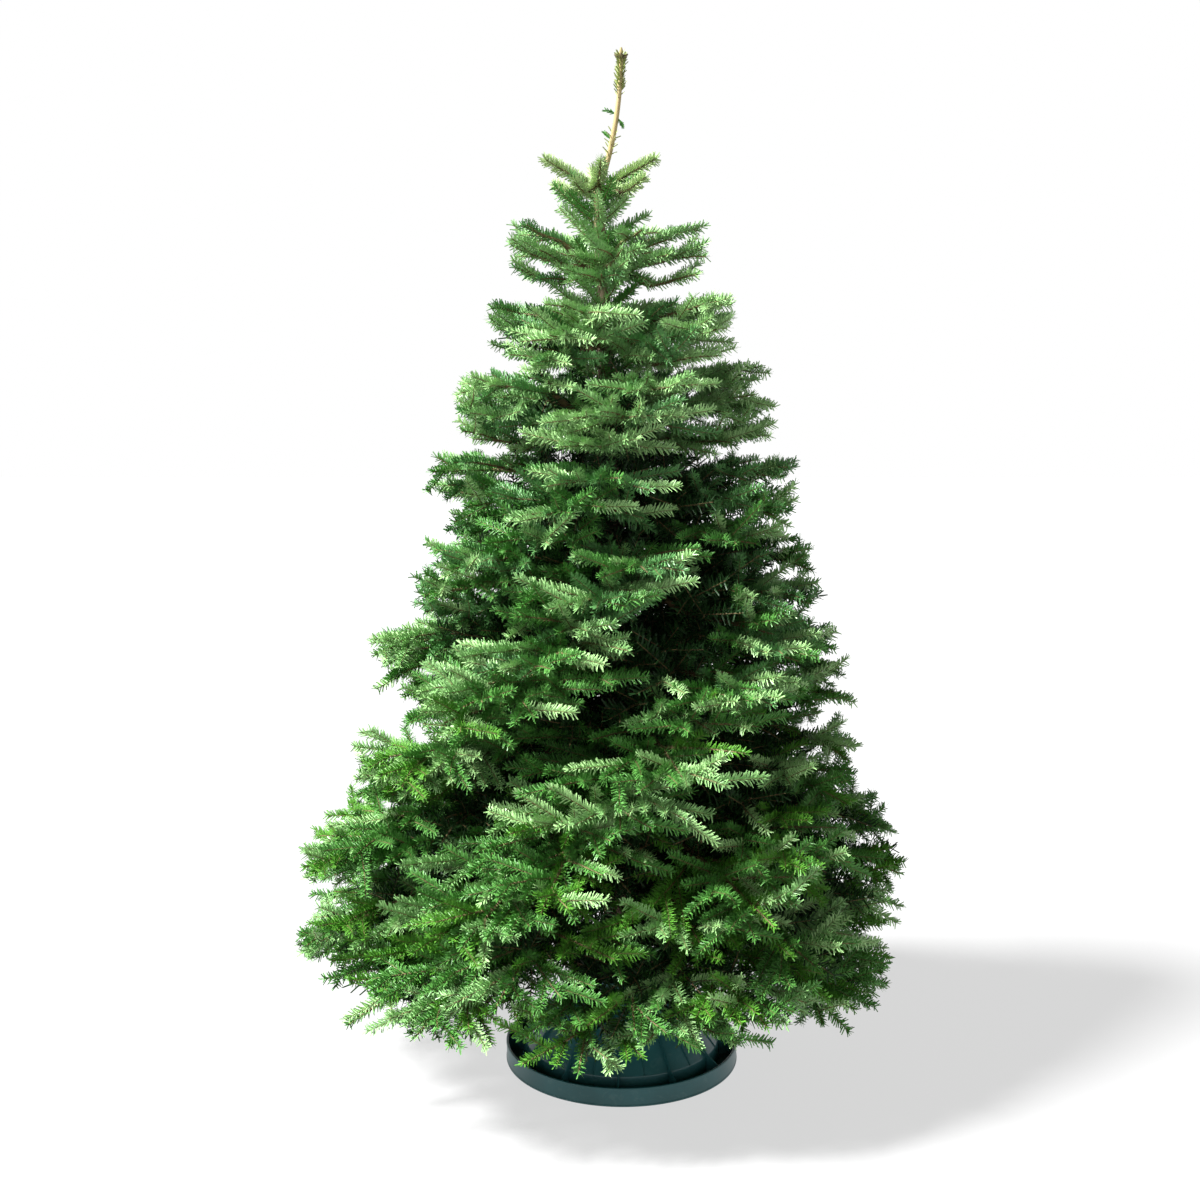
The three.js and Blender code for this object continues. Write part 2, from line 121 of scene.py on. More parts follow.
class Tree:  # builds a shader or geometry node tree
    def __init__(self, nodeTree):
        self.nodes = nodeTree.nodes
        self.links = nodeTree.links

    def socket(self, sockets, key):
        if isinstance(key, int):
            return sockets[key]
        return next(s for s in sockets if s.name == key and s.enabled)

    def add(self, kind, values=None, settings=None, out=0):
        node = self.nodes.new(kind)
        for name, setting in (settings or {}).items():
            setattr(node, name, setting)
        for key, value in (values or {}).items():
            target = self.socket(node.inputs, key)
            if isinstance(value, Value):
                self.links.new(value.socket, target)
            else:
                target.default_value = value
        enabled = [s for s in node.outputs if s.enabled]
        return Value(self, enabled[out] if isinstance(out, int) else self.socket(node.outputs, out))

    def ramp(self, factor, stops):
        shade = self.add("ShaderNodeValToRGB", {"Fac": factor})
        for element, (place, colour) in zip(shade.socket.node.color_ramp.elements, stops):
            element.position = place
            element.color = (*colour, 1)
        return shade

    def math(self, operation, first, second=0.0):
        return self.add("ShaderNodeMath", {0: first, 1: second}, {"operation": operation})

    sum = vectorMath("ADD")
    cross = vectorMath("CROSS_PRODUCT")
    unit = vectorMath("NORMALIZE")
    scaled = vectorMath("SCALE", ["Vector", "Scale"])
    noise = shorthand("ShaderNodeTexNoise", ["Vector", "Scale", "Detail", "Distortion"])
    mixed = shorthand("ShaderNodeMix", ["Factor", "A", "B"], {"data_type": "RGBA"})
    spanned = shorthand("ShaderNodeMapRange", ["Value", "From Min", "From Max", "To Max"])
    bumped = shorthand("ShaderNodeBump", ["Height", "Strength", "Distance"])
    heightOf = shorthand("ShaderNodeSeparateXYZ", ["Vector"], out="Z")
    coordinates = shorthand("ShaderNodeTexCoord", [], out="Object")
    attribute = shorthand("GeometryNodeInputNamedAttribute", ["Name"], {"data_type": "FLOAT"})

    def plug(self, value, node, socket):
        self.links.new(value.socket, node.inputs[socket])


def newMaterial(name, fixed):
    material = bpy.data.materials.new(name)
    material.use_nodes = True
    shader = material.node_tree.nodes["Principled BSDF"]
    for socket, setting in fixed.items():
        shader.inputs[socket].default_value = setting
    return material, Tree(material.node_tree), shader


needleTones = {  # colour and roughness, dealt out by spray
    # this year's pale growth, its paleness partly a painted highlight on the outer tips
    "fresh": ((0.255, 0.440, 0.170), 0.38),
    "light": ((0.175, 0.345, 0.118), 0.40),
    "mid": ((0.062, 0.200, 0.035), 0.44),
    "blue": ((0.084, 0.222, 0.068), 0.40),
    "low": ((0.068, 0.215, 0.020), 0.44),
    # painted shade: the near-black tone of sprays deep in the crown and on its shaded side
    "dark": ((0.008, 0.036, 0.006), 0.55),
    "leader": ((0.250, 0.300, 0.090), 0.45),
    "pale": ((0.330, 0.450, 0.200), 0.42),
}


def needleMaterial(name, colour, roughness):
    fixed = {"Base Color": (*colour, 1), "Roughness": roughness, "Specular IOR Level": 0.32}
    return newMaterial("needle_" + name, fixed)[0]


needleMaterials = {name: needleMaterial(name, *tone) for name, tone in needleTones.items()}

bark = dict(
    ridge=(0.215, 0.165, 0.110),
    furrow=(0.060, 0.040, 0.024),
    lichen=(0.270, 0.270, 0.215),
    leader=(0.420, 0.330, 0.150),
    grain=130.0,
    patches=19.0,
    youngFrom=(1.62, 1.78),  # heights between which the bark turns to the leader's
)


def barkMaterial():
    material, tree, shader = newMaterial("bark", {"Roughness": 0.85, "Specular IOR Level": 0.3})
    place = tree.coordinates()
    stretched = tree.add("ShaderNodeMapping", {"Vector": place, "Scale": (1.0, 1.0, 0.45)})
    grain = tree.noise(stretched, bark["grain"], 6.0)
    shade = tree.ramp(grain, [(0.34, bark["furrow"]), (0.62, bark["ridge"])])
    spotted = tree.spanned(tree.noise(place, bark["patches"], 4.0), 0.58, 0.72, 0.6)
    grey = tree.mixed(spotted, shade, (*bark["lichen"], 1))
    young = tree.spanned(tree.heightOf(place), *bark["youngFrom"])
    tree.plug(tree.mixed(young * 0.75, grey, (*bark["leader"], 1)), shader, "Base Color")
    tree.plug(tree.bumped(grain, 0.55, 0.0015), shader, "Normal")
    return material


grains = {  # scale and detail of the noise, its two colours, and how rough it is from and by how much more
    "twigBark": (90.0, 3.0, (0.3, (0.070, 0.046, 0.022)), (0.7, (0.190, 0.130, 0.060)), (0.7, 0.0)),
    "budScales": (320.0, 3.0, (0.35, (0.055, 0.050, 0.018)), (0.7, (0.170, 0.120, 0.045)), (0.5, 0.0)),
    "screwSteel": (140.0, 4.0, (0.3, (0.36, 0.37, 0.38)), (0.7, (0.55, 0.56, 0.56)), (0.26, 0.2)),
}


def grained(name, fixed):
    scale, detail, low, high, (rough, rougher) = grains[name]
    material, tree, shader = newMaterial(name, {"Roughness": rough, **fixed})
    grain = tree.noise(tree.coordinates(), scale, detail)
    tree.plug(tree.ramp(grain, [low, high]), shader, "Base Color")
    if rougher:
        tree.plug(rough + rougher * grain, shader, "Roughness")
    return material


def plasticMaterial():
    fixed = {"Specular IOR Level": 0.5, "Coat Roughness": 0.25}
    material, tree, shader = newMaterial("standPlastic", fixed)
    place = tree.coordinates()
    broad = tree.noise(place, 9.0, 5.0)
    body = tree.ramp(broad, [(0.35, (0.010, 0.068, 0.072)), (0.68, (0.018, 0.098, 0.106))])
    dust = tree.spanned(tree.noise(place, 60.0, 8.0, 1.2), 0.56, 0.8, 0.22)
    tree.plug(tree.mixed(dust, body, (0.13, 0.22, 0.21, 1)), shader, "Base Color")
    tree.plug(0.27 + 0.14 * broad + 0.5 * dust, shader, "Roughness")
    tree.plug(tree.bumped(tree.noise(place, 420.0, 2.0), 0.1, 0.0006), shader, "Normal")
    return material


barkFinish = barkMaterial()
plasticFinish = plasticMaterial()
twigFinish = grained("twigBark", {"Specular IOR Level": 0.3})
budFinish = grained("budScales", {})
steelFinish = grained("screwSteel", {"Metallic": 1.0})
print("materials made")


def finishedPiece(name, mesh, finish, nodes):
    piece = placed(name, mesh)
    mesh.materials.clear()
    mesh.materials.append(finish)
    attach(piece, "root")
    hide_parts(*nodes)
    print(name, len(mesh.polygons), "faces")


def plasticPiece(name, mesh, node):
    finishedPiece(name, mesh, plasticFinish, [node])


def meshFrom(name, points, faces):
    mesh = bpy.data.meshes.new(name)
    mesh.from_pydata([tuple(p) for p in points], [], faces)
    mesh.validate()
    mesh.shade_smooth()
    return mesh


def meshOf(name, shape):
    mesh = bpy.data.meshes.new(name)
    shape.to_mesh(mesh)
    shape.free()
    return mesh


def spin(angle, axis="Z"):
    return Matrix.Rotation(radians(angle), 4, axis)


# Runs a node group on a mesh and hands back the plain mesh that comes out.
def runNodes(name, mesh, group, settings):
    carrier = placed(name, mesh)
    modifier = carrier.modifiers.new("grow", "NODES")
    modifier.node_group = group
    for socket in group.interface.items_tree:
        if socket.item_type == "SOCKET" and socket.in_out == "INPUT" and socket.name in settings:
            modifier[socket.identifier] = settings[socket.name]
    carrier.update_tag()
    seen = carrier.evaluated_get(bpy.context.evaluated_depsgraph_get())
    made = bpy.data.meshes.new_from_object(seen)
    bpy.data.objects.remove(carrier)
    return made


# The kind of each input follows from its usual value, and an object has none.
def newGroup(name, inputs):
    kinds = {int: "Int", float: "Float", type(None): "Object"}
    group = bpy.data.node_groups.new(name, "GeometryNodeTree")
    group.interface.new_socket("Geometry", in_out="INPUT", socket_type="NodeSocketGeometry")
    for label, usual in inputs.items():
        kind = "NodeSocket" + kinds[type(usual)]
        socket = group.interface.new_socket(label, in_out="INPUT", socket_type=kind)
        if usual is not None:
            socket.default_value = usual
    group.interface.new_socket("Geometry", in_out="OUTPUT", socket_type="NodeSocketGeometry")
    tree = Tree(group)
    given = group.nodes.new("NodeGroupInput")
    return group, tree, {s.name: Value(tree, s) for s in given.outputs if s.name}


def finishGroup(tree, geometry, finish):
    whole = tree.add("GeometryNodeRealizeInstances", {"Geometry": geometry})
    painted = tree.add("GeometryNodeSetMaterial", {"Geometry": whole, "Material": finish})
    tree.plug(painted, tree.nodes.new("NodeGroupOutput"), 0)


# An outline whose corners are rounded: each corner is its radius, height and fillet.
def rounded(corners, straightFrom=85, stepTurn=18):
    made = []
    count = len(corners)
    for k, (r, z, fillet) in enumerate(corners):
        here = Vector((r, z))
        before = (Vector(corners[k - 1][:2]) - here).normalized()
        after = (Vector(corners[(k + 1) % count][:2]) - here).normalized()
        half = before.angle(after) / 2
        if fillet == 0 or half > radians(straightFrom):
            made.append(here)
            continue
        centre = here + (before + after).normalized() * (fillet / sin(half))
        first = here + before * (fillet / tan(half)) - centre
        last = here + after * (fillet / tan(half)) - centre
        steps = max(3, round(degrees(pi - 2 * half) / stepTurn))
        for step in range(steps + 1):
            made.append(centre + first.lerp(last, step / steps).normalized() * fillet)
    return made


# An outline, its corners rounded, spun round the upright axis and closed where it starts and ends on it.
def spun(name, corners, segments):
    points = []
    rings = []
    for spot in rounded(corners):
        if spot.x < 1e-6:
            rings.append([len(points)] * segments)
            points.append((0, 0, spot.y))
            continue
        rings.append(list(range(len(points), len(points) + segments)))
        for step in range(segments):
            turn = 2 * pi * step / segments
            points.append((spot.x * cos(turn), spot.x * sin(turn), spot.y))
    faces = []
    for ring, nextRing in zip(rings, rings[1:] + rings[:1]):
        if ring[0] == ring[1] and nextRing[0] == nextRing[1]:
            continue
        for step in range(segments):
            after = (step + 1) % segments
            face = [ring[step], ring[after], nextRing[after], nextRing[step]]
            faces.append(tuple(dict.fromkeys(face)))
    mesh = meshFrom(name, points, faces)
    tidyMesh(mesh)
    return mesh


def tidyMesh(mesh, sharpFrom=38):
    shape = bmesh.new()
    shape.from_mesh(mesh)
    bmesh.ops.remove_doubles(shape, verts=shape.verts, dist=1e-6)
    bmesh.ops.recalc_face_normals(shape, faces=shape.faces)
    shape.to_mesh(mesh)
    shape.free()
    mesh.shade_smooth()
    mesh.set_sharp_from_angle(angle=radians(sharpFrom))


def joined(name, meshes):
    shape = bmesh.new()
    for mesh in meshes:
        shape.from_mesh(mesh)
    return meshOf(name, shape)


stand = dict(
    radius=0.2375,
    rimHeight=0.038,
    wall=0.0035,
    moatWidth=0.036,
    moatInnerHeight=0.042,
    coneTopRadius=0.112,
    coneTopHeight=0.150,
    ribs=12,
    ribThickness=0.003,
    ribProud=0.005,
    firstRib=-92.5,
    longRibDrop=0.024,  # from the cone's top down to a rib's
    shortRibDrop=0.044,
    segments=144,
)

lug = dict(radii=(0.226, 0.235), heights=(0.022, 0.034), width=0.012, turn=-6)

bucket = dict(
    footRadius=0.086,
    neckRadius=0.095,
    flangeRadius=0.111,
    flangeThickness=0.004,
    height=0.192,
    rimProud=0.003,
    wall=0.0035,
    floor=0.007,
    padRadius=0.034,
    padHeight=0.006,
    clearance=0.0003,
    segments=112,
)

screw = dict(
    height=0.172,
    shaftRadius=0.004,
    threadDepth=0.0009,
    threadPitch=0.0025,
    threadStart=0.004,
    threadEnd=0.016,  # bare at both ends together
    bossRadius=0.010,
    bossLength=0.014,
    headRadius=0.132,
    wingLength=0.046,
    wingWidth=0.014,
    wingThickness=0.006,
    count=4,
    first=45,
    wingTurn=20,
    wingStep=55,
)


def coneRadius(height):
    foot = stand["radius"] - stand["wall"] - stand["moatWidth"]
    share = (height - stand["moatInnerHeight"]) / (stand["coneTopHeight"] - stand["moatInnerHeight"])
    return foot + (stand["coneTopRadius"] - foot) * share


def standShell():
    radius, rim, wall = stand["radius"], stand["rimHeight"], stand["wall"]
    inner, top = stand["moatInnerHeight"], stand["coneTopHeight"]
    hole = bucket["neckRadius"] + bucket["clearance"]
    moatFoot = coneRadius(inner) + 0.003
    lip = wall + 0.0005  # the rim is turned over into a thicker lip
    outline = [
        (hole, top, 0.001),
        (stand["coneTopRadius"], top, 0.004),
        (coneRadius(inner), inner, 0.006),
        (moatFoot, wall + 0.001, 0.004),
        (radius - wall, wall + 0.001, 0.006),
        (radius - wall, rim - 0.006, 0.0008),
        (radius - lip - 0.001, rim - 0.005, 0.0006),
        (radius - lip - 0.001, rim, 0.0018),
        (radius, rim, 0.0018),
        (radius, rim - 0.005, 0.0005),
        (radius - 0.0009, rim - 0.0055, 0.0003),
        (radius - 0.0009, 0.004, 0.0006),
        (radius, 0.0032, 0.0004),
        (radius, 0, 0.0006),
        (moatFoot - wall, 0, 0.001),
        (coneRadius(inner) - wall, inner - 0.001, 0.003),
        (stand["coneTopRadius"] - 0.0025, top - wall - 0.001, 0.002),
        (hole, top - wall - 0.001, 0.0005),
    ]
    plasticPiece("stand_shell", spun("standShell", outline, stand["segments"]), "stand_base")


# A flat plate stood up in the plane of azimuth 0, from an outline of radius and height.
def ribPlate(name, outline, thickness, bevel=0.0007):
    shape = bmesh.new()
    front = [shape.verts.new((r, -thickness / 2, z)) for r, z in outline]
    plate = shape.faces.new(front)
    swept = bmesh.ops.extrude_face_region(shape, geom=[plate])
    moved = [item for item in swept["geom"] if isinstance(item, bmesh.types.BMVert)]
    bmesh.ops.translate(shape, verts=moved, vec=(0, thickness, 0))
    bmesh.ops.recalc_face_normals(shape, faces=shape.faces)
    bmesh.ops.bevel(shape, geom=shape.edges[:], offset=bevel, segments=2, affect="EDGES")
    return meshOf(name, shape)


# Turned copies of the mesh that the modifier sits on, round the upright axis.
def ringGroup():
    group, tree, given = newGroup("ring", {"Count": 12, "First": 0.0, "Step": 0.5})
    spots = tree.add("GeometryNodeMeshLine", {"Count": given["Count"], "Offset": (0.0, 0.0, 0.0)})
    turn = given["First"] + given["Step"] * tree.add("GeometryNodeInputIndex")
    rotation = tree.add("ShaderNodeCombineXYZ", {"X": 0.0, "Y": 0.0, "Z": turn})
    values = {"Points": spots, "Instance": given["Geometry"], "Rotation": rotation}
    finishGroup(tree, tree.add("GeometryNodeInstanceOnPoints", values), plasticFinish)
    return group


# The mesh repeated round the upright axis, from the azimuth of the first copy.
def repeated(mesh, count, first):
    settings = {"Count": count, "First": radians(first), "Step": 2 * pi / count}
    made = runNodes("ring", mesh, ring, settings)
    tidyMesh(made)
    return made


def standRibs():
    radius, wall, proud = stand["radius"], stand["wall"], stand["ribProud"]
    inner, step = stand["moatInnerHeight"], 180 / stand["ribs"]
    highest = stand["coneTopHeight"] - stand["longRibDrop"]
    higher = stand["coneTopHeight"] - stand["shortRibDrop"]
    longRib = [
        (radius - wall / 2, 0.002),
        (radius - wall / 2, stand["rimHeight"] - 0.006),
        (radius - 0.012, stand["rimHeight"] - 0.006),
        (coneRadius(inner) + proud + 0.001, inner + 0.005),
        (coneRadius(highest) + proud, highest),
        (coneRadius(highest) - 0.001, highest + 0.003),
        (coneRadius(inner) - 0.0015, inner - 0.001),
        (coneRadius(inner) + 0.0015, 0.002),
    ]
    shortRib = [
        (coneRadius(inner) - 0.0015, inner),
        (coneRadius(inner) + 0.0015, inner + 0.001),
        (coneRadius(higher) + proud - 0.002, higher),
        (coneRadius(higher) - 0.001, higher + 0.002),
    ]
    kinds = [("long", longRib, 0, 0), ("short", shortRib, 0.0008, step)]
    for label, outline, thinner, offset in kinds:
        rib = ribPlate("rib", outline, stand["ribThickness"] - thinner)
        made = repeated(rib, stand["ribs"], stand["firstRib"] + offset)
        plasticPiece(f"stand_ribs_{label}", made, "stand_base")


def standLug():
    inside, outside = lug["radii"]
    low, high = lug["heights"]
    outline = [(inside, low), (outside, low), (outside, high), (inside, high)]
    mesh = ribPlate("lug", outline, lug["width"])
    mesh.transform(spin(stand["firstRib"] + lug["turn"]))
    tidyMesh(mesh)
    plasticPiece("stand_lug", mesh, "stand_base")


def waterBucket():
    neck, foot, wall, floor = bucket["neckRadius"], bucket["footRadius"], bucket["wall"], bucket["floor"]
    seat = stand["coneTopHeight"] + bucket["clearance"]
    flange, thick = bucket["flangeRadius"], bucket["flangeThickness"]
    rim, height = neck + bucket["rimProud"], bucket["height"]
    pad = floor + bucket["padHeight"]
    outline = [
        (0, 0, 0),
        (foot, 0, 0.004),
        (neck, seat - 0.006, 0.001),
        (neck, seat, 0.0005),
        (flange, seat, 0.0012),
        (flange, seat + thick, 0.0018),
        (neck + 0.0015, seat + thick, 0.003),
        (rim, height - 0.004, 0.0006),
        (rim + 0.0016, height - 0.003, 0.0006),
        (rim + 0.0016, height, 0.0012),
        (rim - wall, height, 0.0012),
        (neck - wall, seat, 0.002),
        (foot - wall, floor, 0.004),
        (bucket["padRadius"] + 0.002, floor, 0.0015),
        (bucket["padRadius"], pad, 0.0015),
        (0, pad, 0),
    ]
    plasticPiece("water_bucket", spun("waterBucket", outline, bucket["segments"]), "stand_bucket")


def bucketBosses():
    rim = bucket["neckRadius"] + bucket["rimProud"]
    middle = rim - bucket["wall"] / 2
    half, hole = screw["bossLength"] / 2, screw["shaftRadius"] + bucket["clearance"]
    outline = [
        (hole, -half, 0.0005),
        (screw["bossRadius"], -half, 0.0012),
        (screw["bossRadius"], half, 0.0012),
        (hole, half, 0.0005),
    ]
    boss = spun("boss", outline, 32)
    boss.transform(Matrix.Translation((middle, 0, screw["height"])) @ spin(90, "Y"))
    plasticPiece("bucket_bosses", repeated(boss, screw["count"], screw["first"]), "stand_bucket")


# A thread: a fine ridge wound round the shaft.
def threadGroup():
    inputs = {"Turns": 20.0, "Length": 0.05, "Radius": 0.004, "Ridge": 0.0009}
    group, tree, given = newGroup("thread", inputs)
    values = {
        "Resolution": 14,
        "Rotations": given["Turns"],
        "Start Radius": given["Radius"],
        "End Radius": given["Radius"],
        "Height": given["Length"],
    }
    winding = tree.add("GeometryNodeCurveSpiral", values)
    ridge = tree.add("GeometryNodeCurvePrimitiveCircle", {"Resolution": 4, "Radius": given["Ridge"]})
    values = {"Curve": winding, "Profile Curve": ridge, "Fill Caps": True}
    finishGroup(tree, tree.add("GeometryNodeCurveToMesh", values), steelFinish)
    return group


# Clamp screw k, first along the Z axis with its tip down, then turned into its place.
def clampScrew(k, threads):
    seat = trunkAtScrew(k) + bucket["clearance"]
    length = screw["headRadius"] - seat
    radius = screw["shaftRadius"]
    shaft = [
        (0, 0, 0),
        (radius * 0.8, 0, 0.0006),
        (radius - 0.0004, 0.003, 0.0005),
        (radius - 0.0004, length - 0.012, 0.0003),
        (radius * 1.7, length - 0.009, 0.0008),
        (radius * 1.7, length - 0.004, 0.0008),
        (radius, length, 0.001),
        (0, length + 0.001, 0),
    ]
    core = spun("shaft", shaft, 28)
    threaded = length - screw["threadEnd"]
    settings = {
        "Turns": threaded / screw["threadPitch"],
        "Length": threaded,
        "Radius": radius - 0.0006,
        "Ridge": screw["threadDepth"],
    }
    thread = runNodes("thread", meshFrom("seed", [(0, 0, 0)], []), threads, settings)
    thread.transform(Matrix.Translation((0, 0, screw["threadStart"])))
    width = screw["wingWidth"] / 2
    half = screw["wingLength"] / 2 - width
    outline = []
    for side, start in ((1, -90), (-1, 90)):
        for step in range(13):
            turn = radians(start + 15 * step)
            outline.append((side * half + width * cos(turn), width * sin(turn)))
    wing = ribPlate("wing", outline, screw["wingThickness"])
    wing.transform(spin(90, "X"))
    wing.transform(spin(screw["wingTurn"] + screw["wingStep"] * k))
    wing.transform(Matrix.Translation((0, 0, length)))
    mesh = joined("clampScrew", [core, thread, wing])
    lying = spin(screwTurn(k)) @ Matrix.Translation((seat, 0, screw["height"]))
    mesh.transform(lying @ spin(90, "Y"))
    tidyMesh(mesh)
    finishedPiece(f"clamp_screw_{k + 1}_steel", mesh, steelFinish, [f"clamp_screw_{k + 1}"])


def screwTurn(k):
    return screw["first"] + 360 * k / screw["count"]


# How far off the stand's axis the trunk's skin lies where a screw bears on it.
def trunkAtScrew(k):
    azimuth = radians(screwTurn(k))
    centre = trunkCentre(screw["height"])
    aside = centre.x * cos(azimuth)
    return aside + sqrt(trunkRadius(screw["height"]) ** 2 - (centre.x * sin(azimuth)) ** 2)


trunk = dict(
    foot=0.0133,
    crownTop=1.738,
    tip=2.0,
    radii=(0.040, 0.0095),
    leaderRadii=(0.006, 0.004),
    flare=0.005,
    flareHeight=0.070,
    lean=-0.048,
    leaderReturn=0.043,
    closing=0.006,  # length over which the tip rounds off
    steps=300,
    sides=40,
)

whorlRows = [  # height, left reach, right reach, boughs, turn, rise, bend
    (1.738, 0.098, 0.110, 4, 4, 0.44, 0.08),
    (1.590, 0.178, 0.206, 4, 14, 0.09, 0.16),
    (1.448, 0.232, 0.262, 4, -25, 0.08, 0.04),
    (1.296, 0.305, 0.322, 4, 15, 0.13, 0.00),
    (1.136, 0.360, 0.352, 4, -20, 0.12, -0.10),
    (0.985, 0.396, 0.385, 5, -18, 0.13, -0.17),
    (0.834, 0.468, 0.476, 5, 22, 0.10, -0.20),
    (0.676, 0.552, 0.490, 5, -18, 0.10, -0.26),
    (0.522, 0.615, 0.548, 6, 0, 0.05, -0.28),
    (0.364, 0.620, 0.562, 6, -4, 0.12, -0.38),
]

lastRow = len(whorlRows) - 1
fromRow = {"shoots": 2, "inner": 3, "upright": 4, "low": 8}  # the first whorl of each kind, 0 at the top

bands = {"tip": [0], "top": [1, 2, 3], "middle": [4, 5, 6], "low": [7, 8], "skirt": [9]}
bandOf = {row: band for band, rows in bands.items() for row in rows}

crown = dict(
    depth=0.88,
    reachJitter=0.05,
    turnJitter=4,
    bendJitter=0.03,
    depthBend=0.72,  # bend at the front and back as a share of the sides'
    bareShare=0.3,
    forkOut=0.007,  # how far off the trunk a bough forks
    parting=(3, 2.5),  # how soon the stems part sideways and in height
    overlap=0.040,  # how far shoots may pass into the space of the whorl above or below, at the lowest
    weave=0.060,  # and into that of the next bough in the whorl
    weaveLow=0.105,  # on the two lowest whorls
    skirt=0.090,  # how far shoots may hang below the lowest whorl's space
    layer=(0.073, 0.024, 0.15),  # half a layer's height: at most, at no reach, and its growth with reach
    edge=0.005,  # how far inside the part's own box a shoot ends, so that its needles stay near the box
    needleRoom=0.010,  # kept between a shoot's tip and the edge of its space
    girths=(0.004, 0.0014),  # at a stem's foot and tip
    girthGrowth=0.016,  # of the foot's, with reach
    needlesFrom=0.45,  # share of a stem that is bare, and the same in the top whorl
    needlesFromAtTop=0.15,
    stepLength=0.03,  # of the lines of stems and twigs
)

stems = [  # turn, height, reach
    (13, 0.75, 0.95),
    (-2, -0.04, 1.0),
    (-15, -0.82, 0.90),
]

skirtStems = [(28, -0.95, 0.90), (-27, -0.3, 0.92)]  # and on the lowest whorl two more, between the boughs
topStems = [(0, 0.1, 1.0), (-34, -0.85, 0.96)]  # the top whorl's plain fingers

twig = dict(
    pitch=0.088,
    start=0.14,
    clear=0.06,  # beyond a bough's bare foot
    end=0.93,
    stagger=0.16,
    spread=0.53,
    fullness=0.58,  # lower is fuller towards the tips
    fill=(0.12, 0.36),  # twigs are shorter where their place, with the first added, is less than the second
    angles=(56, 40),  # at the foot and tip of the stem
    angleJitter=6,
    tipLength=0.040,
    lengthJitter=0.12,
    lengthAtTop=0.86,  # share of the length, on the second whorl
    slope=0.4,  # share of its stem's slope that a twig takes up
    lift=0.06,
    hang=-0.02,  # in place of lift on the lowest whorl
    liftJitter=0.16,
    shortest=0.045,
    shrink=0.92,  # until it fits
    bow=0.05,  # sideways and upwards, as shares of a twig's length
    arch=0.03,
    girths=(0.0018, 0.0012),
    girthGrowth=0.010,  # with the twig's length
    needlesFrom=0.15,
)

shoot = dict(
    pitch=0.056,
    pitchAtTop=0.085,
    filled=0.86,  # share of a twig that the count goes by
    start=0.10,
    end=0.90,
    stagger=0.2,
    length=0.100,
    lengthAtTip=0.66,
    lengthJitter=0.22,
    longest=(0.03, 0.55),  # plus this share of the twig's length
    shortest=0.036,
    shrink=0.85,
    angle=(50, 9),  # and jitter
    lift=(0.14, 0.24),
    standing=(0.8, 0.4),  # upwards and onwards, added to the way of shoots that stand or hang
    drooping=(-0.6, 0.3),
    bend=(0.05, 0.16),  # upwards and onwards, as shares of a shoot's length
    upright=0.26,  # share of shoots that stand up from the spray
    uprightAtTop=0.12,
    hanging=0.16,
    skirt=0.34,  # the hanging share on the two lowest whorls
    skirtLonger=1.15,
    fresh=0.3,  # share of the outer shoots that are this year's, their pale tone partly a painted highlight
    freshLow=0.5,  # of that share, on the two lowest whorls
    freshFrom=0.7,
    inside=0.34,  # share of the reach inside which shoots stand steeper and some are gone
    insideBare=0.25,
    insideUpright=0.7,
    girths=(0.0016, 0.0009),
)

inner = dict(  # shoots in the shade by the trunk, their needles given the dark tone as painted shade
    pitch=0.028,
    pitchLow=0.016,  # on the two lowest whorls
    end=0.5,
    length=0.072,
    lengthJitter=0.25,
    lean=0.7,
)

sprig = dict(  # small shoots straight from the trunk
    lowest=0.26,
    highest=1.72,
    pitch=0.0052,
    turn=137.5,
    lengths=(0.12, 0.09),  # at the lowest and the highest
    lengthJitter=0.25,
    slopes=(-0.2, 0.55),
    slopeJitter=0.3,
    arch=0.12,
    girths=(0.0018, 0.0009),
    needlesFrom=0.12,
    shadeEnds=1.30,  # height above which they stand in the light; below it their needles take the dark tone as painted shade
)

paintedShade = dict(  # painted shade: share of the reach whose sprays get the dark tone, by height, and how far luck widens it
    above=0.34,
    start=1.25,  # height below which more of the reach is painted shade
    below=(0.60, 0.42),  # on the ground, and just below that height
    # more painted shade on the right, the side turned away from the key light
    right=0.15,
    luck=0.16,
)

litTones = [  # up to which height, and the tones that sprays out in the light are dealt
    (0.8, ("mid", "low", "low", "mid", "light")),
    (1.25, ("mid", "blue", "blue", "mid", "light")),
    (inf, ("light", "blue", "fresh", "light", "fresh")),
]

up = Vector((0, 0, 1))


def lerp(low, high, share):
    return low + (high - low) * share


def smooth(share):
    share = min(max(share, 0.0), 1.0)
    return share * share * (3 - 2 * share)


# A number from 0 to 1 that is always the same for the same two seeds.
def chance(seed, draw):
    return sin(seed * 12.9898 + draw * 78.233) * 43758.5453 % 1


def spreadAbout(seed, draw, width):
    return (2 * chance(seed, draw) - 1) * width


def turned(vector, angle):
    return Matrix.Rotation(radians(angle), 3, "Z") @ vector


def trunkCentre(height):
    share = min(height / trunk["crownTop"], 1.0)
    leader = max((height - trunk["crownTop"]) / (trunk["tip"] - trunk["crownTop"]), 0.0)
    back = trunk["leaderReturn"] * (1 - (1 - min(leader, 1.0)) ** 2.2)
    return Vector((trunk["lean"] * share**1.6 + back, 0, height))


def trunkRadius(height):
    if height > trunk["crownTop"]:
        leader = (height - trunk["crownTop"]) / (trunk["tip"] - trunk["crownTop"])
        return lerp(*trunk["leaderRadii"], leader)
    taper = lerp(*trunk["radii"], height / trunk["crownTop"])
    return taper + trunk["flare"] * exp(-(height - trunk["foot"]) / trunk["flareHeight"])


relief = dict(
    plates=0.050,  # share of the radius
    platesScale=Vector((46, 46, 15)),
    blisters=0.028,
    blistersScale=Vector((150, 150, 210)),
    platesFrom=0.35,
    blistersFrom=0.25,
    coarse=0.03,  # radius from which the bark is at its coarsest
    finest=0.35,
    swell=0.1,  # of the trunk's radius at a whorl
    swellReach=0.028,
)


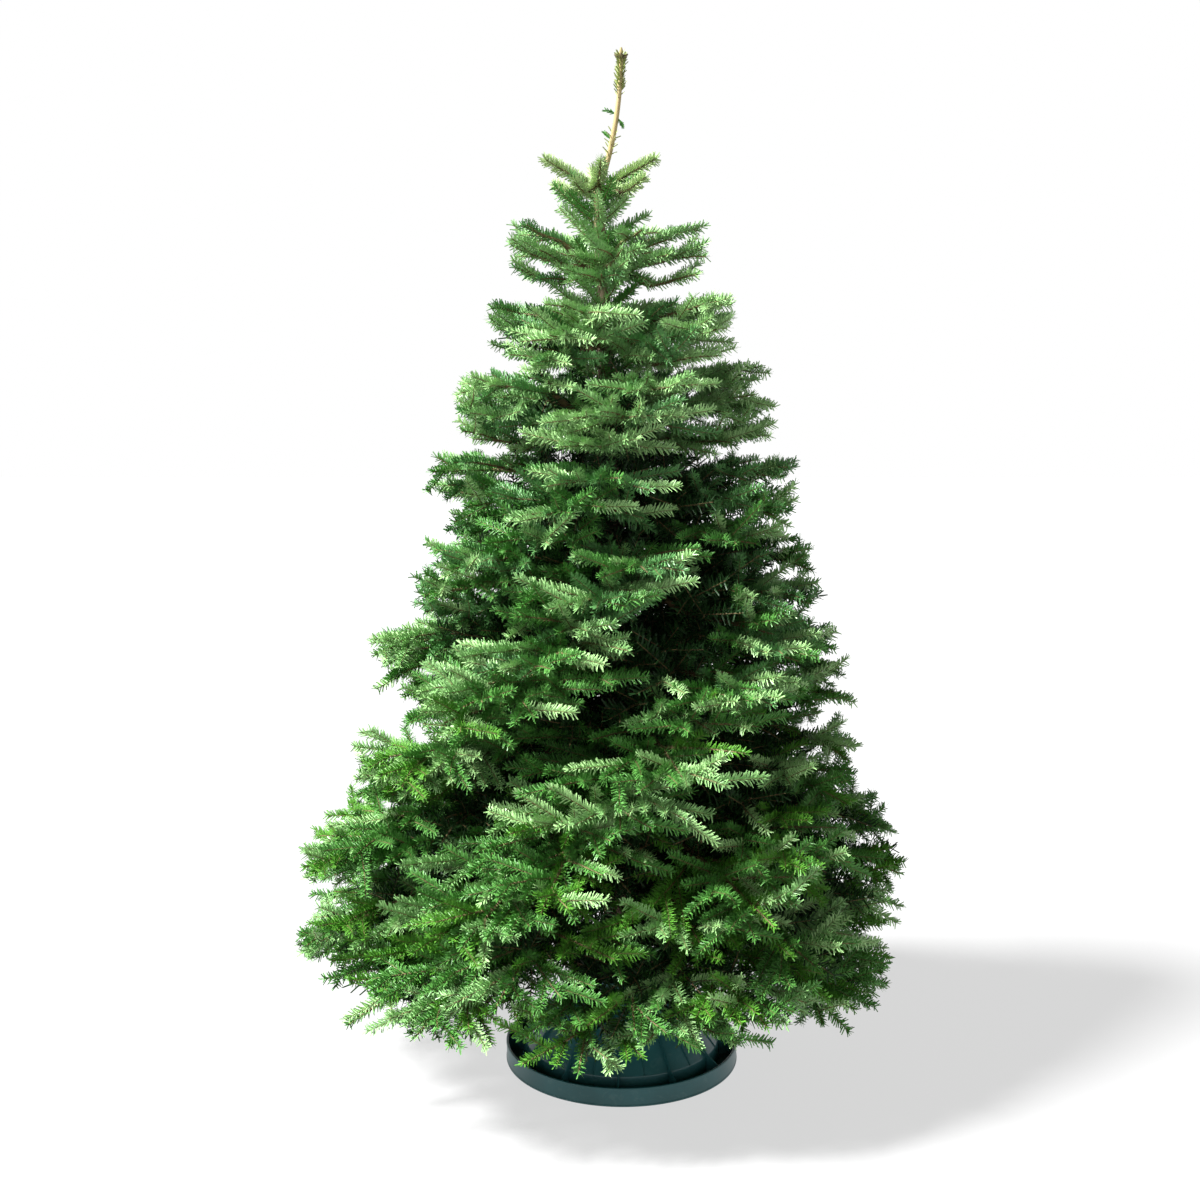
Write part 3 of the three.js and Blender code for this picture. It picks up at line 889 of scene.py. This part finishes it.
def barkRelief(place, radius):
    scale = min(radius, relief["coarse"]) / relief["coarse"] + relief["finest"]
    plates = noise.noise(place * relief["platesScale"] / scale) - relief["platesFrom"]
    blisters = noise.noise(place * relief["blistersScale"] / scale) - relief["blistersFrom"]
    return radius * (relief["plates"] * plates + relief["blisters"] * max(blisters, 0))


# A tube of bark round a path, closed at both ends.
def barkTube(name, path, radii, sides, upright=0.9, sharpFrom=50):
    points = []
    for k, (centre, radius) in enumerate(zip(path, radii)):
        along = (path[min(k + 1, len(path) - 1)] - path[max(k - 1, 0)]).normalized()
        side = along.orthogonal().normalized() if abs(along.z) < upright else Vector((1, 0, 0))
        side = (side - along * side.dot(along)).normalized()
        other = along.cross(side)
        for step in range(sides):
            turn = 2 * pi * step / sides
            out = side * cos(turn) + other * sin(turn)
            points.append(centre + out * (radius + barkRelief(centre + out * radius, radius)))
    last = (len(path) - 1) * sides
    faces = []
    for base in range(0, last, sides):
        for step in range(sides):
            after = (step + 1) % sides
            faces.append((base + step, base + after, base + sides + after, base + sides + step))
    faces.append(tuple(range(sides - 1, -1, -1)))
    faces.append(tuple(range(last, last + sides)))
    mesh = meshFrom(name, points, faces)
    mesh.set_sharp_from_angle(angle=radians(sharpFrom))
    return mesh


def makeTrunk():
    steps = trunk["steps"]
    heights = [trunk["foot"] + (trunk["tip"] - trunk["foot"]) * k / steps for k in range(steps + 1)]

    def radius(height):
        away = min(abs(height - row[0]) for row in whorlRows)
        swell = relief["swell"] * exp(-((away / relief["swellReach"]) ** 2))
        rounding = min((trunk["tip"] - height) / trunk["closing"] + 0.25, 1.0)
        return trunkRadius(height) * (1 + swell) * rounding**0.5

    path = [trunkCentre(height) for height in heights]
    mesh = barkTube("trunkBark", path, [radius(height) for height in heights], trunk["sides"])
    finishedPiece("trunk_bark", mesh, barkFinish, ["trunk"])


limb = dict(bark=(0.003, 0.0015), steps=28, sides=18)


def makeLimb(bough, number):
    steps = limb["steps"]
    path = [bough.at(bough.bare * k / steps) for k in range(steps + 1)]
    radii = [bough.girth + lerp(*limb["bark"], k / steps) for k in range(steps + 1)]
    mesh = barkTube("limbBark", path, radii, limb["sides"])
    finishedPiece(f"bough_bark_{number}", mesh, barkFinish, [f"bough_{number}"])


class Bough:
    def __init__(self, row, number):
        height, left, right, boughs, turn, self.rise, bend = whorlRows[row]
        self.row = row
        self.band = bandOf[row]
        self.low = row >= fromRow["low"]
        self.seed = (row + 1) * 10 + number
        azimuth = radians(turn + 360 * number / boughs + self.about(1, crown["turnJitter"]))
        self.heading = Vector((cos(azimuth), sin(azimuth), 0))
        sideways = lerp(left, right, (1 + self.heading.x) / 2)
        flatness = lerp(1, crown["depth"], self.heading.y**2)
        self.reach = sideways * flatness * self.varied(2, 1, crown["reachJitter"])
        level = lerp(1, crown["depthBend"], self.heading.y**2)
        self.bend = self.varied(3, bend * level, crown["bendJitter"])
        self.root = trunkCentre(height)
        self.girth = crown["girths"][0] + self.reach * crown["girthGrowth"]
        highest, least, growth = crown["layer"]
        self.layer = min(highest, least + self.reach * growth)
        self.bare = crown["bareShare"] if row == lastRow else 0.0
        self.fork = max(self.bare, (trunkRadius(height) + crown["forkOut"]) / self.reach)
        self.sector = pi / boughs
        self.node = f"whorl_{row + 1}_foliage_{number + 1}"

    def luck(self, draw):
        return chance(self.seed, draw)

    def about(self, draw, width):
        return spreadAbout(self.seed, draw, width)

    def varied(self, draw, usual, width):
        return usual + self.about(draw, width)

    def at(self, share):
        climb = self.reach * (self.rise * share + self.bend * share * share)
        return self.root + self.heading * (self.reach * share) + Vector((0, 0, climb))

    def shareOf(self, place):
        return (place - self.root).xy.length / self.reach

    # Whether a shoot's tip lies in the bough's own sector and layer of the crown.
    def holds(self, point):
        flat = point - self.root
        out = flat.dot(self.heading)
        aside = abs(flat.x * self.heading.y - flat.y * self.heading.x)
        if out <= 0 or hypot(out, aside) > self.reach:
            return False
        if not all(cadBox[0][k] + crown["edge"] < point[k] < cadBox[1][k] - crown["edge"] for k in (0, 1)):
            return False
        toEdge = out * sin(self.sector) - aside * cos(self.sector)
        height = point.z - self.at(min(out / self.reach, 1.0)).z
        spare = crown["overlap"] * (self.row / lastRow)
        if self.row == lastRow and height < 0:
            spare = crown["skirt"] * self.heading.y**2
        weave = crown["weaveLow"] if self.low else crown["weave"]
        room = crown["needleRoom"]
        return toEdge > room - weave and abs(height) < self.layer + spare - room

    # The length, shrunk until the shoot's tip is held, or nothing once it is too short.
    def fitted(self, foot, way, length, kind):
        while length > kind["shortest"] and not self.holds(foot + way * length):
            length *= kind["shrink"]
        return length if length >= kind["shortest"] else None

    def stemLine(self, stem):
        turn, height, reach = stem
        sideways, upwards = crown["parting"]

        def line(share):
            parting = share * reach - self.fork
            flat = self.at(share * reach) - self.root
            point = turned(flat, turn * smooth(parting * sideways)) + self.root
            return point + up * (height * self.layer * smooth(parting * upwards))

        return line


class Skeleton:  # lines of twigs, with a girth and a place along the shoot at each point
    def __init__(self):
        self.points = []
        self.edges = []
        self.girths = []
        self.shares = []

    # girths run from the line's foot to its tip, and shares are places along the whole shoot.
    def addLine(self, line, girths=(0, 0), shares=(0.0, 1.0)):
        first = len(self.points)
        steps = len(line) - 1
        self.points.extend(tuple(p) for p in line)
        self.edges.extend((first + k, first + k + 1) for k in range(steps))
        self.girths.extend(lerp(*girths, k / steps) for k in range(steps + 1))
        self.shares.extend(lerp(*shares, k / steps) for k in range(steps + 1))

    def mesh(self, name):
        mesh = bpy.data.meshes.new(name)
        mesh.from_pydata(self.points, self.edges, [])
        for label, numbers in (("girth", self.girths), ("share", self.shares)):
            attribute = mesh.attributes.new(label, "FLOAT", "POINT")
            attribute.data.foreach_set("value", np.array(numbers, dtype=np.float32))
        return mesh


limbLines = {band: Skeleton() for band in bands}
shootLines = {band: Skeleton() for band in bands}
needleLines = {(band, tone): Skeleton() for band in bands for tone in needleTones}


def lineOf(place, start, end, steps):
    return [place(lerp(start, end, k / steps)) for k in range(steps + 1)]


def stepsFor(length, fewest):
    return max(fewest, round(length / crown["stepLength"]))


# Opposite places along a line: the number of each, its side and its share of the line.
def pairedPlaces(pairs, kind, start):
    for pair in range(pairs):
        for hand in (-1, 1):
            share = start + (kind["end"] - start) * (pair + 0.5 + kind["stagger"] * hand) / pairs
            yield pair * 2 + (hand + 1) / 2, hand, share


def shootLine(foot, way, length, bend):
    return lambda share: foot + way * (length * share) + bend * (share * share)


# The tone of a spray's needles, by how far out and how high it stands: sprays deep in the crown, more of
# them low down and on the lower right, get the dark tone as painted shade.
def toneOf(bough, place, draw):
    luck = bough.luck(draw + 0.37)
    if bough.row == 0:
        return "pale"
    dark = paintedShade["above"]
    if place.z <= paintedShade["start"]:
        dark = lerp(*paintedShade["below"], place.z / paintedShade["start"])
        dark += paintedShade["right"] * max(bough.heading.x, 0)
    if bough.shareOf(place) < dark + paintedShade["luck"] * luck:
        return "dark"
    tones = next(tones for limit, tones in litTones if place.z < limit)
    return tones[int(luck * len(tones))]


# A shoot's own line, and a finer one that its needles stand on.
def addShoot(band, place, steps, girths, tone, needlesFrom=0):
    shootLines[band].addLine(lineOf(place, 0, 1, steps), girths)
    needleLines[band, tone].addLine(lineOf(place, needlesFrom, 1, steps + 1))


# Every draw of a shoot takes its own tenth after the shoot's number.
def growShoots(bough, line, length, tone, draw):
    pitch = shoot["pitch"] if bough.row >= fromRow["shoots"] else shoot["pitchAtTop"]
    pairs = max(1, round(length * shoot["filled"] / pitch))
    upright = shoot["upright"] if bough.row >= fromRow["upright"] else shoot["uprightAtTop"]
    hanging = upright + (shoot["skirt"] if bough.low else shoot["hanging"])
    for number, hand, share in pairedPlaces(pairs, shoot, shoot["start"]):
        key = draw + number
        foot = line(share)
        outward = bough.shareOf(foot)
        inside = outward < shoot["inside"]
        if inside and bough.luck(key + 0.6) < shoot["insideBare"]:
            continue
        ahead = min(share + 0.05, 1)
        along = (line(ahead) - line(ahead - 0.05)).normalized()
        way = turned(along, hand * bough.varied(key + 0.1, *shoot["angle"]))
        way.z += bough.varied(key + 0.2, *shoot["lift"])
        stance = bough.luck(key + 0.3) * (shoot["insideUpright"] if inside else 1.0)
        longer = bough.varied(key + 0.4, 1, shoot["lengthJitter"])
        reach = shoot["length"] * lerp(1.0, shoot["lengthAtTip"], share) * longer
        if stance < hanging:
            rise, onward = shoot["standing"] if stance < upright else shoot["drooping"]
            way = (way + up * rise + along * onward).normalized()
            if stance >= upright and bough.low:
                reach *= shoot["skirtLonger"]
        least, shareOfTwig = shoot["longest"]
        reach = bough.fitted(foot, way, min(reach, least + length * shareOfTwig), shoot)
        if reach is None:
            continue
        rise, onward = shoot["bend"]
        place = shootLine(foot, way, reach, along * (onward * reach) + up * (rise * reach))
        freshShare = shoot["fresh"] * (shoot["freshLow"] if bough.low else 1.0)
        fresh = outward > shoot["freshFrom"] and bough.luck(key + 0.5) < freshShare
        addShoot(bough.band, place, 2, shoot["girths"], "fresh" if fresh else tone)


def growTwigs(bough, stem):
    line = bough.stemLine(stem)
    reach = bough.reach * stem[2]
    start = max(twig["start"], bough.bare / stem[2] + twig["clear"])
    pairs = max(2, round(reach * (twig["end"] - start) / twig["pitch"]))
    for number, hand, share in pairedPlaces(pairs, twig, start):
        draw = stem[0] + 10 + number
        foot = line(share)
        swing = lerp(*twig["angles"], share) + bough.about(draw, twig["angleJitter"])
        along = turned((line(share + 0.02) - foot).normalized(), hand * swing)
        lift = twig["lift"] if bough.row < lastRow else twig["hang"]
        along.z = along.z * twig["slope"] + lift + bough.about(draw + 100, twig["liftJitter"])
        near, width = twig["fill"]
        fullness = (1 - share) ** twig["fullness"] * smooth((share + near) / width)
        longer = bough.varied(draw + 200, 1, twig["lengthJitter"])
        length = twig["spread"] * reach * fullness * longer + twig["tipLength"]
        length *= twig["lengthAtTop"] if bough.row == 1 else 1.0
        length = bough.fitted(foot, along, length, twig)
        if length is None:
            continue
        bow = turned(along, -90 * hand) * (twig["bow"] * length) + up * (twig["arch"] * length)
        place = lambda s, f=foot, a=along, n=length, b=bow: f + a * (n * s) + b * sin(pi * s)
        steps = stepsFor(length, 3)
        thick, thin = twig["girths"]
        girths = (thick + length * twig["girthGrowth"], thin)
        limbLines[bough.band].addLine(lineOf(place, 0, 1, steps), girths)
        tone = toneOf(bough, place(0.7), draw)
        needleLines[bough.band, tone].addLine(lineOf(place, twig["needlesFrom"], 1, steps))
        if bough.row >= fromRow["shoots"]:
            growShoots(bough, place, length, tone, 300 + draw * 17)


# Short shoots that stand up and hang down in the shade by the trunk; their needles take the dark tone,
# painted shade.
def growInner(bough, line, reach, draw):
    count = round(reach * inner["end"] / (inner["pitchLow"] if bough.low else inner["pitch"]))
    for k in range(count):
        foot = line(bough.fork + inner["end"] * (k + bough.luck(draw + k)) / count)
        lean = [bough.about(draw + k + offset, inner["lean"]) for offset in (0.2, 0.5)]
        way = Vector((*lean, 1 if k % 2 else -1)).normalized()
        length = inner["length"] * (1 + bough.about(draw + k + 0.7, inner["lengthJitter"]))
        addShoot(bough.band, shootLine(foot, way, length, Vector()), 1, shoot["girths"], "dark")


def growSprigs():
    count = round((sprig["highest"] - sprig["lowest"]) / sprig["pitch"])
    for k in range(count):
        height = lerp(sprig["lowest"], sprig["highest"], (k + 0.5) / count)
        share = height / sprig["highest"]
        slope = lerp(*sprig["slopes"], share) + spreadAbout(k, 0.3, sprig["slopeJitter"])
        way = (turned(Vector((1, 0, 0)), sprig["turn"] * k) + up * slope).normalized()
        length = lerp(*sprig["lengths"], share) * (1 + spreadAbout(k, 0.7, sprig["lengthJitter"]))
        place = shootLine(trunkCentre(height), way, length, up * (sprig["arch"] * length))
        row = max(row for row, whorl in enumerate(whorlRows) if whorl[0] > height or row == 0)
        band = bandOf[max(row, 1)]
        # below shadeEnds the sprig's needles get the dark tone, painted shade
        tone = ("light", "mid", "fresh")[k % 3] if height > sprig["shadeEnds"] else "dark"
        addShoot(band, place, 2, sprig["girths"], tone, sprig["needlesFrom"])


def growMass(bough):
    grown = topStems if bough.row == 0 else stems
    if bough.row == lastRow:
        grown = stems + skirtStems
    for stem in grown:
        line = bough.stemLine(stem)
        reach = bough.reach * stem[2]
        foot = bough.bare / stem[2]
        steps = stepsFor(reach * (1 - foot), 6)
        limbLines[bough.band].addLine(lineOf(line, foot, 1, steps), (bough.girth, crown["girths"][1]))
        bare = crown["needlesFrom"] if bough.row else crown["needlesFromAtTop"]
        tone = toneOf(bough, line(0.9), 5 + stem[0])
        needleLines[bough.band, tone].addLine(lineOf(line, bare, 1, steps))
        if bough.row:
            growTwigs(bough, stem)
            growShoots(bough, line, reach, toneOf(bough, line(0.7), 3), 900 + stem[0] * 31)
        if bough.row >= fromRow["inner"]:
            growInner(bough, line, reach, 1700 + stem[0] * 53)


ring = ringGroup()
standShell()
standRibs()
standLug()
waterBucket()
bucketBosses()
threads = threadGroup()
for k in range(screw["count"]):
    clampScrew(k, threads)
print("stand made")

makeTrunk()
boughs = [Bough(row, number) for row, whorl in enumerate(whorlRows) for number in range(whorl[3])]
for number, bough in enumerate((bough for bough in boughs if bough.bare), 1):
    makeLimb(bough, number)
for bough in boughs:
    growMass(bough)
growSprigs()
print("grown:", len(boughs), "masses")


def tubeGroup():
    group, tree, given = newGroup("twigTubes", {"Sides": 3})
    lines = tree.add("GeometryNodeMeshToCurve", {"Mesh": given["Geometry"]})
    girth = tree.attribute("girth")
    ring = tree.add("GeometryNodeCurvePrimitiveCircle", {"Resolution": given["Sides"], "Radius": 1.0})
    values = {"Curve": lines, "Profile Curve": ring, "Scale": girth, "Fill Caps": True}
    tube = tree.add("GeometryNodeCurveToMesh", values)
    finishGroup(tree, tube, twigFinish)
    return group


tubes = tubeGroup()
nodesOf = {band: [b.node for b in boughs if b.band == band] for band in bands}
for band in bands:
    for label, skeleton, sides in (("limbs", limbLines[band], 5), ("shoots", shootLines[band], 3)):
        if not skeleton.points:
            continue
        mesh = runNodes("skeleton", skeleton.mesh("skeleton"), tubes, {"Sides": sides})
        mesh.shade_smooth()
        finishedPiece(f"{label}_{band}", mesh, twigFinish, nodesOf[band])

needle = {
    "Length": 0.0165,
    "Width": 0.0031,
    "Pitch": 0.00086,
    "Spread at foot": 62.0,  # degrees between needle and shoot
    "Spread at tip": 44.0,
    "Raise": 0.55,  # how far the brush is parted upwards
    "Seed": 11,
}

shadeNeedle = {**needle, "Length": 0.024, "Width": 0.0042, "Pitch": 0.0024}
topNeedle = {**needle, "Length": 0.0180, "Pitch": 0.00030, "Raise": 0.3}

brush = dict(
    turn=2.39996,  # from each needle to the next, round the shoot
    turnJitter=0.35,
    closing=6.0,  # powers of the share by which the brush closes and loosens towards the tip
    loosening=8.0,
    loose=0.2,
    looseAtTip=0.5,
    shorterAtTip=0.2,
    lengths=(0.8, 1.12),
)


def needleBlade():
    points = [(0, -0.44, 0), (0, 0.44, 0), (0.12, 0.26, 1), (-0.12, -0.26, 1)]
    mesh = bpy.data.meshes.new("needleBlade")
    mesh.from_pydata(points, [], [(0, 1, 2), (0, 2, 3)])
    return placed("needleBlade", mesh)


def brushGroup(finish):
    group, tree, given = newGroup("needleBrush", {"Blade": None, **needle})
    lines = tree.add("GeometryNodeMeshToCurve", {"Mesh": given["Geometry"]})
    values = {"Curve": lines, "Length": given["Pitch"]}
    spots = tree.add("GeometryNodeResampleCurve", values, {"mode": "LENGTH"})
    share = tree.attribute("share")
    index = tree.add("GeometryNodeInputIndex")
    tangent = tree.add("GeometryNodeInputTangent")

    def random(low, high, offset):
        values = {"Min": low, "Max": high, "Seed": given["Seed"] + offset}
        return tree.add("FunctionNodeRandomValue", values, {"data_type": "FLOAT"})

    side = tree.unit(tree.cross(tangent, (0.0, 0.0, 1.0)))
    top = tree.cross(side, tangent)
    roll = index * brush["turn"] + random(-brush["turnJitter"], brush["turnJitter"], 1)
    sideways = tree.scaled(side, tree.math("COSINE", roll))
    upwards = tree.scaled(top, tree.math("SINE", roll) + given["Raise"])
    outwards = tree.unit(tree.sum(sideways, upwards))
    closing = (given["Spread at tip"] - given["Spread at foot"]) * share ** brush["closing"]
    loose = share ** brush["loosening"] * brush["looseAtTip"] + brush["loose"]
    spread = given["Spread at foot"] + closing + random(-1.0, 1.0, 2) * loose
    forward = tree.scaled(tangent, tree.math("COSINE", spread))
    aim = tree.sum(forward, tree.scaled(outwards, tree.math("SINE", spread)))
    pointed = tree.add("FunctionNodeAlignRotationToVector", {"Vector": aim}, {"axis": "Z"})
    values = {"Rotation": pointed, "Vector": tangent}
    flatOn = tree.add("FunctionNodeAlignRotationToVector", values, {"axis": "Y", "pivot_axis": "Z"})
    shorter = 1.0 - brush["shorterAtTip"] * share ** brush["closing"]
    long = given["Length"] * shorter * random(*brush["lengths"], 3)
    scale = tree.add("ShaderNodeCombineXYZ", {"X": given["Width"], "Y": given["Width"], "Z": long})
    blade = tree.add("GeometryNodeObjectInfo", {"Object": given["Blade"]}, out="Geometry")
    values = {"Points": spots, "Instance": blade, "Rotation": flatOn, "Scale": scale}
    finishGroup(tree, tree.add("GeometryNodeInstanceOnPoints", values), finish)
    return group


def brushed(name, skeleton, tone, nodes, size):
    spreads = {label: radians(size[label]) for label in ("Spread at foot", "Spread at tip")}
    settings = {**size, **spreads, "Blade": blade}
    mesh = runNodes("skeleton", skeleton.mesh("skeleton"), brushes[tone], settings)
    finishedPiece(name, mesh, needleMaterials[tone], nodes)


leader = dict(
    sleeves=[  # lowest and highest point, and the needles' pitch, length and spread
        (1.800, 1.842, 0.0022, 0.018, 55),
        (1.905, 1.925, 0.0030, 0.014, 45),
        (1.917, 1.982, 0.0004, 0.018, 36),
    ],
    sleeveShares=(0.1, 0.5),  # the part of a shoot that a sleeve stands for
    tufts=[(1.879, 180, 0.3), (1.876, 0, -1.7), (1.830, 165, 0.9)],  # height, azimuth and slope
    tuftFoot=0.004,
    tuftLength=0.022,
    buds=5,
    budLength=0.016,
    budRadius=0.0042,
    budProfile=[(0, 0), (0.7, 0.12), (1.0, 0.4), (0.75, 0.72), (0.3, 0.93), (0, 1)],
    budLean=58,
    sunk=(0.98, 1.25),  # of its length, for the middle bud and for those round it
)


def makeLeader():
    for number, (low, high, pitch, length, spread) in enumerate(leader["sleeves"], 1):
        sleeve = Skeleton()
        sleeve.addLine(lineOf(trunkCentre, low, high, 6), (0, 0), leader["sleeveShares"])
        size = {**needle, "Pitch": pitch, "Length": length, "Spread at foot": spread, "Raise": 0.0}
        brushed(f"needles_leader_{number}", sleeve, "leader", ["trunk"], size)
    tufts = Skeleton()
    for height, azimuth, slope in leader["tufts"]:
        way = (turned(Vector((1, 0, 0)), azimuth) + up * slope).normalized()
        foot = trunkCentre(height)
        tufts.addLine([foot + way * leader["tuftFoot"], foot + way * leader["tuftLength"]])
    size = {**needle, "Pitch": 0.0009, "Length": 0.009, "Spread at foot": 30, "Spread at tip": 12}
    brushed("needles_leader_tufts", tufts, "mid", ["trunk"], size)


def makeBuds():
    buds = []
    radius, length = leader["budRadius"], leader["budLength"]
    for number in range(leader["buds"]):
        bud = spun("bud", [(r * radius, z * length, 0) for r, z in leader["budProfile"]], 10)
        leaning = spin(leader["budLean"] if number else 0, "Y")
        bud.transform(spin(360 * number / (leader["buds"] - 1)) @ leaning)
        drop = length * leader["sunk"][min(number, 1)]
        bud.transform(Matrix.Translation(trunkCentre(trunk["tip"]) - up * drop))
        buds.append(bud)
    mesh = joined("buds", buds)
    mesh.shade_smooth()
    finishedPiece("leader_buds", mesh, budFinish, ["trunk"])


blade = needleBlade()
brushes = {tone: brushGroup(finish) for tone, finish in needleMaterials.items()}
for (band, tone), skeleton in needleLines.items():
    if skeleton.points:
        size = shadeNeedle if tone == "dark" else topNeedle if band == "tip" else needle
        brushed(f"needles_{band}_{tone}", skeleton, tone, nodesOf[band], size)
makeLeader()
makeBuds()
bpy.data.objects.remove(blade)
count = sum(len(o.data.polygons) for o in bpy.data.objects if o.name.startswith("needles_"))
print("needles made:", count, "faces")

light = dict(
    horizon=(0.25, (1.0, 1.0, 1.0)),  # place in the sky's ramp, and brightness
    zenith=(0.5, (0.14, 0.14, 0.14)),
    keyStrength=15.0,
    keyAngle=12.0,
    keyHeight=50.0,
    keyTurn=-72.0,
    floorHalf=15,
    floorDrop=0.0005,
    floorGlow=0.64,
    floorPaint=0.11,
)


def makeStage():
    half = light["floorHalf"]
    corners = [(-half, -half, 0), (half, -half, 0), (half, half, 0), (-half, half, 0)]
    floor = placed("floor", meshFrom("floor", corners, [(0, 1, 2, 3)]))
    floor.location.z = -light["floorDrop"]
    paint = light["floorPaint"]
    fixed = {"Base Color": (paint, paint, paint, 1), "Roughness": 0.9, "Emission Color": (1, 1, 1, 1)}
    material, _, _ = newMaterial("floorPaint", {**fixed, "Emission Strength": light["floorGlow"]})
    floor.data.materials.append(material)


def makeLight(settings):
    world = bpy.data.worlds.new("studio")
    world.use_nodes = True
    tree = Tree(world.node_tree)
    place = tree.add("ShaderNodeTexCoord", out="Generated")
    sky = tree.ramp(tree.heightOf(place), [settings["horizon"], settings["zenith"]])
    tree.plug(sky, world.node_tree.nodes["Background"], "Color")
    scene.world = world
    data = bpy.data.lights.new("key", "SUN")
    data.energy = settings["keyStrength"]
    data.angle = radians(settings["keyAngle"])
    key = placed("key", data)
    key.rotation_euler = (radians(90 - settings["keyHeight"]), 0, radians(settings["keyTurn"]))
    scene.view_settings.view_transform = "Standard"


makeStage()
makeLight(light)
